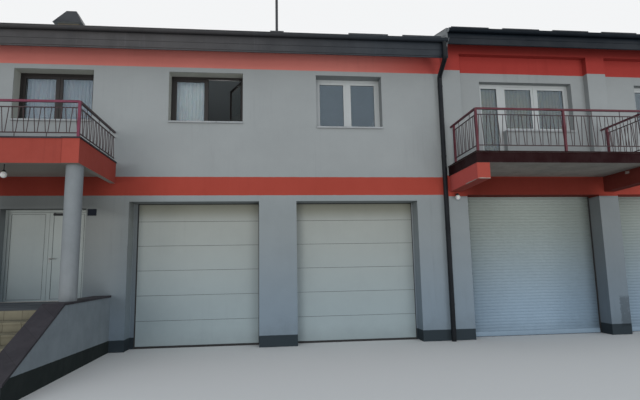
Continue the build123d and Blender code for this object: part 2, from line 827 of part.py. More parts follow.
left_levels = (left_rail_top, left_rail_second, left_rail_low)
rail_z = cope_z
lx0 = bal_left + parapet_thickness / 2
lx1 = bal_right - parapet_thickness / 2
ly = bal_front + parapet_thickness / 2
span = lx1 - lx0
side_clear = post_size / 2 + 1
left_runs = [rail_run((lx0, ly), (lx1, ly), rail_z, left_levels, (0, span), None, True)]
side_start = ly + side_clear
side_span = y_front - side_start
for x in (lx0, lx1):
    left_runs.append(rail_run((x, side_start), (x, y_front), rail_z, left_levels, (), 0.5, True))
nodes["railing_left"] = group(left_runs)
right_levels = (right_rail_top, right_rail_second, right_rail_low)
rx0 = rb_left + railing_inset
rx1 = rb_right - divider_inset
ry = rb_front + railing_inset
rspan = rx1 - rx0
right_runs = [rail_run((rx0, ry), (rx1, ry), lintel_top, right_levels, (0, rspan / 2, rspan), 0.0)]
rside = ry + side_clear
for x, gap in ((rx0, left_run_wall_gap), (rx1, divider_wall_gap)):
    end_post = y_front - gap - end_post_inset - rside
    start, end = (x, rside), (x, y_front - gap)
    right_runs.append(rail_run(start, end, lintel_top, right_levels, (end_post,), 0.5, False, end_post))
nodes["railing_right"] = group(right_runs)

# Entrance stair: landing, flight, treads, cheek walls and their copings
landing_front = y_front - landing_reach
cheek_in_left = bal_left + cheek_width
cheek_in_right = bal_right - cheek_width
step_rise = entry_floor / (step_count + 1)
landing_under = entry_floor - landing_thickness
beam_back = landing_front + landing_beam
flight = [(beam_back, 0), (beam_back, landing_under), (y_front, landing_under)]
flight += [(y_front, entry_floor), (landing_front, entry_floor)]
for i in range(step_count, 0, -1):
    z = i * step_rise - tread_slab
    y = landing_front - (step_count - i) * step_tread
    flight.append((y, z))
    flight.append((y - step_tread, z))
flight.append((landing_front - step_count * step_tread, 0))
nodes["entrance_stair"] = along_x(flight, cheek_in_left, cheek_in_right)
treads = []
for i in range(step_count, 0, -1):
    y = landing_front - (step_count - i) * step_tread
    z = i * step_rise
    slab = block(cheek_in_left, cheek_in_right, y - step_tread - tread_nosing, y, z - tread_slab, z)
    treads.append(slab)
nodes["stair_treads"] = group(treads)
cheek_top = entry_floor + cheek_rise
stair_end = landing_front - step_count * step_tread
cheek = [(y_front, 0), (y_front, cheek_top), (landing_front, cheek_top), (stair_end, cheek_end_height)]
cheek.append((stair_end, 0))
nodes["cheek_walls"] = group([
    along_x(cheek, bal_left, cheek_in_left),
    along_x(cheek, cheek_in_right, bal_right),
])
fall = math.atan2(cheek_top - cheek_end_height, landing_front - stair_end)
level_back = cheek_coping * math.tan(fall / 2)
down = cheek_coping / math.cos(fall)
coping_outline = [
    (y_front, cheek_top),
    (y_front, cheek_top + cheek_coping),
    (landing_front - level_back, cheek_top + cheek_coping),
    (stair_end - cheek_coping_lap, cheek_end_height + down - cheek_coping_lap * math.tan(fall)),
    (stair_end - cheek_coping_lap, cheek_end_height - cheek_coping_lap * math.tan(fall)),
    (landing_front, cheek_top),
]
nodes["copings"] = group([
    cope,
    along_x(coping_outline, bal_left - cheek_coping_lap, cheek_in_left + cheek_coping_lap),
    along_x(coping_outline, cheek_in_right - cheek_coping_lap, bal_right + cheek_coping_lap),
])
column_y = bal_front + column_setback
column_foot = cheek_top + cheek_coping
columns = []
for x in (bal_left + cheek_width / 2, bal_right - cheek_width / 2):
    shaft = Cylinder(column_diameter / 2, parapet_bottom - column_foot)
    columns.append(Pos(x, column_y, (parapet_bottom + column_foot) / 2) * shaft)
nodes["entry_columns"] = group(columns)

# Chimney with a sheet-metal hood
half_w = chimney_width / 2
half_d = chimney_depth / 2
seat = (chimney_y - half_d - y_front) * slope + left_wall_top + roof_rise
chimney_outline = [(chimney_y - half_d, seat), (chimney_y + half_d, seat + chimney_depth * slope)]
chimney_outline += [(chimney_y + half_d, chimney_top), (chimney_y - half_d, chimney_top)]
nodes["chimney"] = along_x(chimney_outline, chimney_x - half_w, chimney_x + half_w)
hood_foot = Pos(chimney_x, chimney_y, chimney_top) * Rectangle(
    chimney_width + 2 * chimney_cap_lap, chimney_depth + 2 * chimney_cap_lap
)
hood_top = Pos(chimney_x, chimney_y, chimney_top + chimney_cap_height) * Rectangle(
    chimney_width * 0.45, chimney_depth * 0.4
)
nodes["chimney_hood"] = loft([hood_foot, hood_top])

# Roof mast on a small box that stands on the slope
mast_seat = left_wall_top + roof_rise + (mast_y - mast_box_width / 2 - y_front) * slope
box_outline = [
    (mast_y - mast_box_width / 2, mast_seat),
    (mast_y + mast_box_width / 2, mast_seat + mast_box_width * slope),
    (mast_y + mast_box_width / 2, mast_seat + mast_box_height),
    (mast_y - mast_box_width / 2, mast_seat + mast_box_height),
]
mast = along_x(box_outline, mast_x - mast_box_width / 2, mast_x + mast_box_width / 2)
mast += Pos(mast_x, mast_y, mast_seat + mast_box_height + mast_height / 2 - 5) * Cylinder(
    mast_diameter / 2, mast_height + 10
)
nodes["roof_mast"] = mast


# Snow guards: low plates on two feet along the street eaves
def snow_guard(x, wall_top):
    y = y_front - eave_overhang + guard_setback
    roof_z = wall_top + roof_rise + (y - y_front) * slope
    face = panel(x, x + guard_length, roof_z + 30, roof_z + guard_height)
    guard = along_y(face, y, y + guard_thickness)
    for fx in (x + 150, x + guard_length - 190):
        foot = [(y, roof_z), (y + 160, roof_z + 160 * slope), (y + guard_thickness, roof_z + 120)]
        foot.append((y, roof_z + 120))
        guard += along_x(foot, fx, fx + 40)
    return guard


guards = []
for i in range(left_guard_count):
    guards.append(snow_guard(x_joint - 60 - guard_length - i * guard_pitch, left_wall_top))
for i in range(right_guard_count):
    guards.append(snow_guard(x_joint + 240 + i * guard_pitch, right_wall_top))
nodes["snow_guards"] = group(guards)

# Globe lamps: one on a wall bracket beside the first roller shutter, one under the left balcony
def globe_lamp(x, y, z):
    globe = Pos(x, y, z) * Sphere(lamp_diameter / 2)
    neck_foot = z + lamp_diameter / 2 - 8
    return globe + Pos(x, y, neck_foot + lamp_neck_height / 2) * Cylinder(lamp_neck_radius, lamp_neck_height)


lamp_1_x = x_joint + lamp_1_offset
lamp_1_top = lamp_1_height + lamp_diameter / 2 - 8 + lamp_neck_height
base_half = lamp_base_size / 2
wall_lamp = globe_lamp(lamp_1_x, y_front - lamp_stand_off, lamp_1_height)
wall_lamp += block(lamp_1_x - 12, lamp_1_x + 12, y_front - lamp_stand_off, y_front, lamp_1_top - 24, lamp_1_top)
wall_lamp += block(
    lamp_1_x - base_half / 2,
    lamp_1_x + base_half / 2,
    y_front - lamp_base_thickness,
    y_front,
    lamp_1_top - lamp_base_size,
    lamp_1_top,
)
porch_x = balcony_axis + porch_lamp_shift
porch_y = y_front - porch_lamp_reach
porch_lamp = globe_lamp(porch_x, porch_y, porch_lamp_height)
porch_neck_top = porch_lamp_height + lamp_diameter / 2 - 8 + lamp_neck_height
porch_lamp += block(porch_x - 12, porch_x + 12, porch_y - 12, porch_y + 12, porch_neck_top - 10, left_balcony_soffit)
porch_lamp += block(
    porch_x - base_half,
    porch_x + base_half,
    porch_y - base_half,
    porch_y + base_half,
    left_balcony_soffit - lamp_base_thickness,
    left_balcony_soffit,
)
nodes["wall_lamps"] = group([wall_lamp, porch_lamp])
nodes["number_plate"] = block(
    plate_x - plate_width / 2,
    plate_x + plate_width / 2,
    y_front - plate_thickness,
    y_front,
    plate_z - plate_height / 2,
    plate_z + plate_height / 2,
)

for name, shape in nodes.items():
    export_step(shape, f"parts/{name}.step")
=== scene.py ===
import functools
import math

import bmesh
import bpy
from bpy.props import FloatProperty, FloatVectorProperty, IntProperty, PointerProperty
from bpy.types import Operator, Panel, PropertyGroup
from mathutils import Matrix, Vector


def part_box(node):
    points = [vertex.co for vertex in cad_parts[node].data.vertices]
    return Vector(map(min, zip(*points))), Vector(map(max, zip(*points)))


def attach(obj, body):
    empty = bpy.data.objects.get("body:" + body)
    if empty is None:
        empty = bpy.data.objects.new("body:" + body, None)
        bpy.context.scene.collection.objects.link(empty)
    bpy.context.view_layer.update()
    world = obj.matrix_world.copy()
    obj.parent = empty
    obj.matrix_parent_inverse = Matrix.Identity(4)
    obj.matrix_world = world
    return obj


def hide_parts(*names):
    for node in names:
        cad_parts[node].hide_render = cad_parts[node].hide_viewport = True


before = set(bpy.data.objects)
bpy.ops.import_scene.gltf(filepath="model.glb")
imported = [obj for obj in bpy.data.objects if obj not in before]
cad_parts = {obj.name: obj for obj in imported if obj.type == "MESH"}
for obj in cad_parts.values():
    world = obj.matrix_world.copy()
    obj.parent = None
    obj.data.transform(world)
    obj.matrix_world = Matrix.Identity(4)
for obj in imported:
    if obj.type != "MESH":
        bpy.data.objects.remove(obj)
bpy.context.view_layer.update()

bl_info = {
    "name": "Fire Station Front",
    "version": (1, 0, 0),
    "blender": (4, 5, 0),
    "location": "View3D > Sidebar > Fire Station",
    "description": "Dresses two joined blocks of a fire station with their finishes and fine parts",
    "category": "Object",
}

# Places on the building in metres. The street side is at low y, the stair at low x.
JOINT_X = 1.47
EAST_X = JOINT_X + 0.001
STREET_Y = -5.4
# Paint is outside beyond these two, and plaster inside
WALL_IN_Y = 4.96
GABLE_IN_X = 10.2
BAND_LOW, BAND_HIGH = 3.69, 4.157
CROWN_LOW, CROWN_HIGH, CROWN_TOP = 7.0, 7.66, 9.9
PLINTH_HIGH = 0.275
LANDING_Z, LANDING_Y = 1.2, -8.02
OPENING_TOP = 3.54
EAVE_Y = 6.0
PITCH = math.radians(15)
# From x, to x and the height of the eave of each roof
ROOFS = ((-10.83, JOINT_X, 7.696), (JOINT_X, 10.83, 7.986))
# The doors and shutters reach this far behind the jambs at each side
BEHIND_JAMB = 0.09

CONCRETE = (0.16, 0.155, 0.145)
SOFFIT = (0.31, 0.295, 0.265)


def tint(name, about, colour):
    return FloatVectorProperty(
        name=name, description=about, default=colour, size=3, min=0, max=1, subtype="COLOR"
    )


def size(name, about, metres):
    return FloatProperty(name=name, description=about, default=metres, min=0, unit="LENGTH")


def angle(name, about, radians):
    return FloatProperty(name=name, description=about, default=radians, subtype="ANGLE")


def strength(name, about, value):
    return FloatProperty(name=name, description=about, default=value, min=0)


class FinishSettings(PropertyGroup):
    """Colours of the walls, doors, sheets and stone"""

    wall: tint("Upper wall", "Painted render above the band", (0.29, 0.31, 0.315))
    # The lower wall is darker than the upper wall, partly as painted shade of the ground storey and partly as
    # dirt
    wall_low: tint("Lower wall", "Painted render of the ground storey", (0.2, 0.235, 0.26))
    plinth: tint("Plinth", "Dark paint at the foot of the walls", (0.027, 0.037, 0.045))
    red: tint("Red band", "Red paint of the bands and balconies", (0.33, 0.056, 0.04))
    red_faded: tint("Faded red", "Red paint that the sun has bleached", (0.52, 0.17, 0.145))
    door: tint("Garage doors", "Coated steel of the sectional doors", (0.29, 0.32, 0.32))
    # The entrance's white is darker than the window frames' white, as painted shade of the balcony over it
    entry: tint("Entrance", "Coated leaves and frame of the entrance", (0.3, 0.335, 0.34))
    shutter: tint("Shutters", "Coated slats of the roller shutters", (0.21, 0.255, 0.28))
    sheet: tint("Roof sheet", "Dark coated sheet of roofs, eaves and pipes", (0.0095, 0.0135, 0.019))
    frame_brown: tint("Brown frames", "Brown window frames", (0.0125, 0.0105, 0.01))
    frame_white: tint("White frames", "White window and door frames", (0.4, 0.425, 0.43))
    stone: tint("Step stone", "Yellow-beige stone of the stair", (0.2, 0.185, 0.135))
    coping: tint("Coping stone", "Dark violet-brown coping slabs", (0.036, 0.034, 0.04))
    rail: tint("Handrail", "Crimson paint of handrails and posts", (0.085, 0.009, 0.019))


class TrimSettings(PropertyGroup):
    """Sizes of the fine parts"""

    seam_pitch: size("Seam pitch", "Distance between the standing seams of a roof", 0.5)
    seam_height: size("Seam height", "Height of a standing seam", 0.026)
    lath_pitch: size("Slat pitch", "Height of one slat of a roller shutter", 0.08)
    gasket: size("Gasket", "Width of the dark rubber around a pane", 0.006)
    fold_depth: size("Fold depth", "Depth of a curtain's folds", 0.028)
    bracket_pitch: size("Bracket pitch", "Distance between the gutter's brackets", 0.75)
    globe_sides: IntProperty(name="Globe sides", description="Sides of a lamp globe", default=32, min=12)


class StageSettings(PropertyGroup):
    """Camera, light and floor"""

    lens: FloatProperty(
        name="Lens", description="Focal length of the camera", default=27.066, min=1, unit="CAMERA"
    )
    turn: angle("Turn", "Turn of the camera to the right", 0.108556)
    tilt: angle("Tilt", "Tilt of the camera upwards", 0.14099)
    roll: angle("Roll", "Roll of the picture", -0.018716)
    eye: FloatVectorProperty(
        name="Eye", description="Place of the camera", default=(-3.18, -17.4, 1.8528), size=3,
        subtype="TRANSLATION",
    )
    sky: strength("Sky light", "Strength of the even light", 0.72)
    sun: strength("Sun", "Strength of the soft light from the front left", 1.1)
    glow: strength("Ground glow", "Strength of the light thrown back by the ground", 0.75)
    room: FloatProperty(
        name="Room light", description="Power of the light inside each upper room", default=55.0, min=0,
        unit="POWER",
    )


def look():
    """The colours that the finishes are made with."""
    return bpy.context.scene.fire_finish


def trim():
    """The sizes of the fine parts."""
    return bpy.context.scene.fire_trim


# Nodes


class Nodes:
    """Makes nodes in one shader tree. Each call gives the output of its node."""

    place = None

    def __init__(self, tree):
        self.tree = tree

    def plug(self, socket, value):
        if isinstance(value, bpy.types.NodeSocket):
            self.tree.links.new(value, socket)
        elif socket.type == "RGBA" and len(value) == 3:
            socket.default_value = (*value, 1)
        else:
            socket.default_value = value

    def outputs(self, kind, inputs=None, **options):
        made = self.tree.nodes.new("ShaderNode" + kind)
        for key, value in options.items():
            setattr(made, key, value)
        for key, value in (inputs or {}).items():
            self.plug(made.inputs[key], value)
        return made.outputs

    def maths(self, operation, *values):
        return self.outputs("Math", dict(enumerate(values)), operation=operation)[0]

    def vector(self, operation, *values, output=0, **inputs):
        inputs = {**dict(enumerate(values)), **inputs}
        return self.outputs("VectorMath", inputs, operation=operation)[output]

    def times(self, *values):
        return functools.reduce(lambda a, b: self.maths("MULTIPLY", a, b), values)

    def most(self, *values):
        return functools.reduce(lambda a, b: self.maths("MAXIMUM", a, b), values)

    def minus(self, a, b):
        return self.maths("SUBTRACT", a, b)

    def over(self, value, limit):
        return self.maths("GREATER_THAN", value, limit)

    def under(self, value, limit):
        return self.maths("LESS_THAN", value, limit)

    def split(self, vector):
        return self.outputs("SeparateXYZ", {0: vector})

    def join(self, x, y=0.0, z=0.0):
        return self.outputs("CombineXYZ", {0: x, 1: y, 2: z})[0]

    def mix(self, factor, a, b, kind="MIX"):
        return self.outputs("Mix", {0: factor, 6: a, 7: b}, data_type="RGBA", blend_type=kind)[2]

    def between(self, factor, a, b):
        return self.outputs("Mix", {0: factor, 2: a, 3: b})[0]

    def rise(self, value, low, high, to_low=0.0, to_high=1.0):
        """A smooth step from to_low at low to to_high at high."""
        inputs = {"Value": value, "From Min": low, "From Max": high, "To Min": to_low, "To Max": to_high}
        return self.outputs("MapRange", inputs, interpolation_type="SMOOTHSTEP")[0]

    def noise(self, scale, detail=4.0, rough=0.55, at=None, output="Fac"):
        at = self.place if at is None else at
        inputs = {"Vector": at, "Scale": scale, "Detail": detail, "Roughness": rough}
        return self.outputs("TexNoise", inputs)[output]

    def effect(self, name, **inputs):
        """The outputs of one of the shared effects, placed in this tree."""
        made = self.tree.nodes.new("ShaderNodeGroup")
        made.node_tree = bpy.data.node_groups.get(name) or EFFECTS[name]()
        for key, value in {"Vector": self.place, **inputs}.items():
            self.plug(made.inputs[key.replace("_", " ")], value)
        return made.outputs


class Effect(Nodes):
    """A shader node group with named inputs and outputs, placed by its input Vector."""

    def __init__(self, name, inputs, outputs):
        super().__init__(bpy.data.node_groups.new(name, "ShaderNodeTree"))
        new_socket = self.tree.interface.new_socket
        for label, value in {"Vector": None, **inputs}.items():
            kind = "NodeSocketVector" if value is None else "NodeSocketFloat"
            socket = new_socket(name=label, in_out="INPUT", socket_type=kind)
            if value is not None:
                socket.default_value = value
        for label in outputs:
            new_socket(name=label, in_out="OUTPUT", socket_type="NodeSocketFloat")
        self.given = self.tree.nodes.new("NodeGroupInput").outputs
        self.results = self.tree.nodes.new("NodeGroupOutput").inputs
        self.place = self.given["Vector"]

    def done(self, *values):
        """Joins the values to the group's outputs, in their order."""
        for socket, value in zip(self.results, values):
            self.plug(socket, value)
        return self.tree

    def shaken(self, value, amount, *pattern):
        """A value moved to and fro by a noise."""
        shift = self.minus(self.noise(*pattern), 0.5)
        return self.maths("ADD", value, self.times(shift, amount))


def fine_grain():
    made = Effect("Fine Grain", {"Scale": 60.0, "Coarse": 0.5}, ["Height", "Shade"])
    fine = made.noise(made.given["Scale"], 6, 0.62)
    broad = made.noise(made.times(made.given["Scale"], 0.17), 3)
    return made.done(made.between(made.given["Coarse"], fine, broad), made.rise(fine, 0.3, 0.7))


def rain_marks():
    made = Effect("Rain Marks", {"Streak Width": 0.12, "Blotch Size": 1.2}, ["Streaks", "Blotches"])
    across, down = (made.maths("DIVIDE", a, made.given["Streak Width"]) for a in (1.0, 0.07))
    pulled = made.vector("MULTIPLY", made.place, made.join(across, across, down))
    lines = made.rise(made.noise(1.0, 4, at=pulled), 0.5, 0.78)
    places = made.rise(made.noise(0.55, 3), 0.42, 0.66)
    spread = made.maths("DIVIDE", 1.0, made.given["Blotch Size"])
    return made.done(made.times(lines, places), made.rise(made.noise(spread, 7, 0.66), 0.32, 0.7))


def level_band():
    made = Effect("Level Band", {"Bottom": 0.0, "Top": 1.0, "Ragged": 0.01}, ["Mask"])
    z = made.shaken(made.split(made.place)[2], made.given["Ragged"], 7.0, 3)
    above = made.rise(made.minus(z, made.given["Bottom"]), -0.003, 0.003)
    below = made.rise(made.minus(made.given["Top"], z), -0.003, 0.003)
    return made.done(made.times(above, below))


def box_patch():
    made = Effect("Box Patch", {"Centre": None, "Half": None, "Ragged": 0.0, "Soft": 0.02}, ["Mask"])
    wander = made.vector("SUBTRACT", made.noise(16.0, 4, 0.6, output="Color"), (0.5, 0.5, 0.5))
    wander = made.vector("SCALE", wander, Scale=made.given["Ragged"])
    moved = made.vector("ADD", made.place, wander)
    away = made.vector("ABSOLUTE", made.vector("SUBTRACT", moved, made.given["Centre"]))
    most = made.most(*made.split(made.vector("DIVIDE", away, made.given["Half"])))
    edges = (made.maths(kind, 1.0, made.given["Soft"]) for kind in ("ADD", "SUBTRACT"))
    return made.done(made.rise(most, *edges))


def ground_splash():
    made = Effect("Ground Splash", {"Height": 0.5}, ["Mask"])
    z = made.shaken(made.split(made.place)[2], made.given["Height"], 2.6, 6, 0.68)
    return made.done(made.rise(z, made.given["Height"], 0.0))


def stone_joints():
    made = Effect("Stone Joints", {"Length": 0.3, "Height": 0.1, "Gap": 0.006}, ["Joint", "Tone"])
    tone, joint = made.outputs("TexBrick", {
        "Vector": made.place, "Scale": 1.0, "Color1": (0, 0, 0), "Color2": (1, 1, 1), "Mortar": (0.5, 0.5, 0.5),
        "Mortar Size": made.given["Gap"], "Mortar Smooth": 0.3, "Brick Width": made.given["Length"],
        "Row Height": made.given["Height"],
    })
    return made.done(joint, tone)


EFFECTS = {
    "Fine Grain": fine_grain, "Rain Marks": rain_marks, "Level Band": level_band,
    "Box Patch": box_patch, "Ground Splash": ground_splash, "Stone Joints": stone_joints,
}


# Finishes


class Finish(Nodes):
    """A material with a Principled BSDF, placed by its Object coordinates."""

    def __init__(self, name, matt=False, **values):
        self.material = bpy.data.materials.new(name)
        self.material.use_nodes = True
        super().__init__(self.material.node_tree)
        self.place = self.outputs("TexCoord")["Object"]
        self.x, self.y, self.z = self.split(self.place)
        if matt:
            values["Specular_IOR_Level"] = 0.15
        for key, value in values.items():
            self.set(key.replace("_", " "), value)

    def set(self, name, value):
        self.plug(self.tree.nodes["Principled BSDF"].inputs[name], value)

    def normals(self):
        """The three parts of the direction that the surface faces."""
        return self.split(self.outputs("NewGeometry")["True Normal"])

    def box(self, centre, half, ragged=0.0, soft=0.02):
        return self.effect("Box Patch", Centre=centre, Half=half, Ragged=ragged, Soft=soft)[0]

    def band(self, bottom, top, ragged=0.012, **at):
        return self.effect("Level Band", Bottom=bottom, Top=top, Ragged=ragged, **at)[0]

    def splash(self, height):
        return self.effect("Ground Splash", Height=height)[0]

    def grain(self, scale, coarse):
        return self.effect("Fine Grain", Scale=scale, Coarse=coarse)

    def shade(self, colour, mask, amount):
        """Multiplies a colour by amount, one number or three, where the mask is one."""
        amount = amount if isinstance(amount, tuple) else (amount,) * 3
        return self.mix(mask, colour, self.mix(1.0, colour, amount, "MULTIPLY"))

    def weathered(self, colour, streak, blotch, width=0.12, spread=1.2):
        streaks, blotches = self.effect("Rain Marks", Streak_Width=width, Blotch_Size=spread)
        return self.shade(self.shade(colour, streaks, streak), blotches, blotch), blotches

    def done(self, colour, rough, bump=None):
        """Sets the colour, the roughness (factor, low, high) and the bump (height, strength, distance)."""
        factor, low, high = rough
        self.set("Base Color", colour)
        self.set("Roughness", self.rise(factor, 0.0, 1.0, low, high))
        if bump:
            inputs = dict(zip(("Height", "Strength", "Distance"), bump))
            self.set("Normal", self.outputs("Bump", inputs)[0])
        return self.material


def scaled(colour, by):
    by = by if isinstance(by, tuple) else (by,) * 3
    return tuple(min(1.0, channel * factor) for channel, factor in zip(colour, by))


def painted_render():
    made = Finish("painted_render", matt=True)
    east = made.over(made.x, EAST_X)
    along_walls = made.over(made.maths("ABSOLUTE", made.y), WALL_IN_Y)
    on_gables = made.over(made.maths("ABSOLUTE", made.x), GABLE_IN_X)
    outside = made.most(along_walls, on_gables)

    # Grey, bluer and darker towards the ground: painted shade over the lower storey, with some dirt
    tints = made.mix(made.rise(made.z, 0.4, 3.3), (0.9, 0.98, 1.07), (1.19, 1.13, 1.06))
    lower = made.mix(1.0, look().wall_low, tints, "MULTIPLY")
    colour = made.mix(made.rise(made.z, 3.3, 4.6), lower, look().wall)

    # The red band and the lintels of the right block, and painted shade on the walls under the two balconies
    colour = made.mix(made.times(made.band(BAND_LOW, BAND_HIGH), outside), colour, look().red)
    colour = made.mix(made.box((6.0, -5.2, 3.93), (4.6, 0.3, 0.278)), colour, look().red)
    # Painted shade under the right balcony and under the left balcony
    for centre, half, soft, amount in (
        ((3.87, -5.2, 3.92), (1.98, 0.3, 0.27), 0.25, 0.4), ((-8.4, -5.2, 3.8), (1.5, 0.3, 0.5), 0.5, 0.5),
    ):
        colour = made.shade(colour, made.times(made.box(centre, half, 0.0, soft), outside), amount)

    # The red crown under the eaves, bleached on the left block, with painted light at its top on the left
    # block's street side
    fade = made.rise(made.x, -1.4, 2.2)
    crown_red = made.mix(fade, look().red_faded, scaled(look().red, (1.08, 0.88, 1.05)))
    # Painted light: the top of the crown on the left block's street wall is made lighter, where the eaves shade
    # it
    street = made.times(made.minus(1.0, east), made.under(made.normals()[1], -0.7))
    crown_red = made.shade(crown_red, made.times(made.rise(made.z, 7.08, 7.42), street), 1.75)
    crown = made.band(made.maths("MULTIPLY_ADD", east, 0.12, CROWN_LOW), CROWN_TOP)
    cut = made.under(made.z, made.maths("MULTIPLY_ADD", east, 0.29, CROWN_HIGH))
    colour = made.mix(made.times(crown, outside, cut), colour, crown_red)

    # Painted shade round the entrance under the balcony and on the second pilaster, then rain marks, splashes
    # and the plinth
    entrance_shade = made.times(made.box((-8.0, -5.3, 2.3), (1.6, 0.3, 1.4), 0.1, 0.6), outside)
    colour = made.shade(colour, entrance_shade, (0.82, 0.78, 0.73))
    # Painted shade on the second pilaster
    colour = made.shade(colour, made.box((6.0, -5.2, 1.9), (0.28, 0.3, 1.79), 0.0, 0.01), 0.82)
    colour, blotches = made.weathered(colour, 0.88, 0.94)
    colour = made.shade(colour, made.splash(0.8), 0.8)
    colour = made.mix(made.times(made.band(-1.0, PLINTH_HIGH, 0.01), outside), colour, look().plinth)
    colour = made.shade(colour, made.box((6.155, STREET_Y, 0.6), (0.145, 0.02, 0.37), 0.12, 0.12), 0.62)
    height, grains = made.grain(70.0, 0.35)
    colour = made.shade(colour, grains, 0.95)

    # Painted shade on the first door's jamb, painted light on the reveals of the windows and of the first
    # doorway, and the plaster indoors
    colour = made.shade(colour, made.box((-6.48, -4.95, 1.8), (0.046, 0.35, 1.9), 0.0, 0.003), 0.8)
    # Painted light in the window reveals and, weaker, in the first doorway's reveal
    windows = made.box((-6.4, -5.17, 6.22), (3.1, 0.215, 0.69), 0.0, 0.005)
    doorway = made.times(0.25, made.box((-6.535, -5.17, 1.9), (0.005, 0.215, 1.7), 0.0, 0.005))
    colour = made.shade(colour, made.most(windows, doorway), (1.75, 1.68, 1.5))
    colour = made.mix(made.minus(1.0, outside), colour, (0.42, 0.41, 0.38))
    return made.done(colour, (blotches, 0.78, 0.95), (height, 0.35, 0.006))


def red_paint():
    made = Finish("red_paint", matt=True)
    facing = made.normals()
    left = made.under(made.x, 0.0)
    tone = made.rise(made.noise(0.8, 5, 0.6), 0.35, 0.7)
    colour = made.mix(0.12, made.mix(tone, look().red, scaled(look().red, 0.84)), look().red_faded)
    colour, blotches = made.weathered(colour, 0.9, 0.95, 0.1, 0.7)
    colour = made.mix(made.times(made.under(facing[2], -0.7), left), colour, SOFFIT)

    # The left parapet's duller panel, and painted shade along the edges of its corner blocks
    colour = made.shade(colour, made.box((-8.45, -7.69, 4.24), (1.234, 0.05, 0.4), 0.0, 0.008), 0.88)
    # Painted shade along the corner blocks' edges
    joint_shade = (made.box((x, -7.69, 4.24), (0.016, 0.05, 0.4), 0.0, 0.008) for x in (-7.216, -9.684))
    colour = made.shade(colour, made.most(*joint_shade), 0.85)

    # Painted light on the first console's flank, the balcony's concrete floor, and painted shade on the second
    # console
    flank = made.times(made.box((1.5, -6.3, 4.0), (0.36, 1.1, 0.45)), made.under(facing[0], -0.7))
    colour = made.mix(flank, colour, (0.5, 0.098, 0.085))
    floor = made.times(made.over(facing[2], 0.7), left, made.under(made.z, 4.4))
    colour = made.mix(floor, colour, CONCRETE)
    # Painted shade on the second console
    colour = made.shade(colour, made.box((6.0, -6.2, 4.0), (0.5, 1.2, 0.5), 0.0, 0.1), 0.42)

    # Chipped edges of the consoles
    worn = made.most(
        made.box((1.72, -7.118, 3.812), (0.14, 0.02, 0.012), 0.03, 0.3),
        made.box((1.55, -6.75, 3.8), (0.02, 0.3, 0.012), 0.03, 0.3),
        made.box((5.89, -6.3, 4.12), (0.03, 0.07, 0.03), 0.06, 0.3),
    )
    height, grains = made.grain(70.0, 0.35)
    colour = made.shade(made.mix(worn, colour, (0.34, 0.3, 0.27)), grains, 0.93)
    height = made.minus(height, made.times(worn, 0.8))
    return made.done(colour, (blotches, 0.76, 0.93), (height, 0.35, 0.006))


def plain_concrete():
    made = Finish("plain_concrete", matt=True)
    height, grains = made.grain(45.0, 0.5)
    colour, blotches = made.weathered((0.23, 0.23, 0.22), 0.8, 0.82, 0.2, 0.9)
    return made.done(made.shade(colour, grains, 0.9), (blotches, 0.8, 0.96), (height, 0.4, 0.005))


def sheet_metal():
    made = Finish("sheet_metal", Coat_Weight=0.04, Coat_Roughness=0.45, Specular_IOR_Level=0.3)
    up = made.normals()[2]
    # Painted light and shade: the fascia is lighter towards the left end and darker on the right block
    fascia = made.mix(made.rise(made.x, 1.0, -6.0), (0.023, 0.029, 0.037), (0.059, 0.057, 0.059))
    fascia = made.mix(made.over(made.x, EAST_X), fascia, (0.0065, 0.0105, 0.016))
    colour = made.mix(made.under(up, 0.4), look().sheet, fascia)
    colour, blotches = made.weathered(colour, 1.35, 0.85, 0.07, 0.8)
    dust = made.rise(made.noise(3.0, 6, 0.7), 0.5, 0.8, 0.0, 0.35)
    colour = made.mix(dust, colour, scaled(look().sheet, 2.0))
    verge = made.box((JOINT_X, 0.0, 8.9), (0.02, 6.2, 1.4))
    colour = made.mix(verge, colour, (0.2, 0.215, 0.225))
    ceiling = made.times(made.under(up, -0.7), made.box((0.0, 0.0, 8.0), (10.2, 4.95, 2.0)))
    colour = made.mix(ceiling, colour, (0.36, 0.41, 0.44))
    return made.done(colour, (blotches, 0.38, 0.6), (made.noise(2.5, 2), 0.25, 0.01))


def pipe_sheet():
    made = Finish("pipe_sheet", Coat_Weight=0.05, Coat_Roughness=0.5, Specular_IOR_Level=0.3)
    colour, blotches = made.weathered(scaled(look().sheet, 0.5), 1.4, 0.85, 0.05, 0.5)
    return made.done(colour, (blotches, 0.42, 0.62), (made.noise(30.0, 3), 0.1, 0.002))


def slab_edge():
    made = Finish("slab_edge", matt=True)
    up = made.normals()[2]
    colour = made.mix(made.rise(up, 0.5, 0.8), (0.0165, 0.0035, 0.0042), CONCRETE)
    colour = made.mix(made.rise(up, -0.5, -0.8), colour, SOFFIT)
    colour, blotches = made.weathered(colour, 0.7, 0.85, 0.1, 0.6)
    return made.done(colour, (blotches, 0.5, 0.85), (made.noise(40.0, 5), 0.2, 0.003))


def coated(name, colour, streak, rough, low_tint=(0.9, 1.0, 1.07), high_tint=(1.02, 0.99, 0.93),
           wave=1.8, bend=0.06, head=None):
    """Smooth coated steel or plastic with dust, rain marks, a slight wave and painted shade under its head."""
    made = Finish(name, Coat_Weight=0.12, Coat_Roughness=0.3)
    base = made.mix(made.rise(made.z, 0.3, 3.4), scaled(colour, low_tint), scaled(colour, high_tint))
    if head:
        # Painted shade of the lintel over the top of the door
        base = made.mix(made.rise(made.z, head - 0.5, head - 0.1), base, scaled(colour, (0.62, 0.58, 0.47)))
    base, blotches = made.weathered(base, streak, 0.96, 0.09, 0.9)
    base = made.shade(base, made.splash(0.5), 0.85)
    return made.done(base, (blotches, rough, rough + 0.15), (made.noise(wave, 2), bend, 0.01))


def garage_coat():
    return coated("garage_coat", look().door, 0.95, 0.45, head=OPENING_TOP)


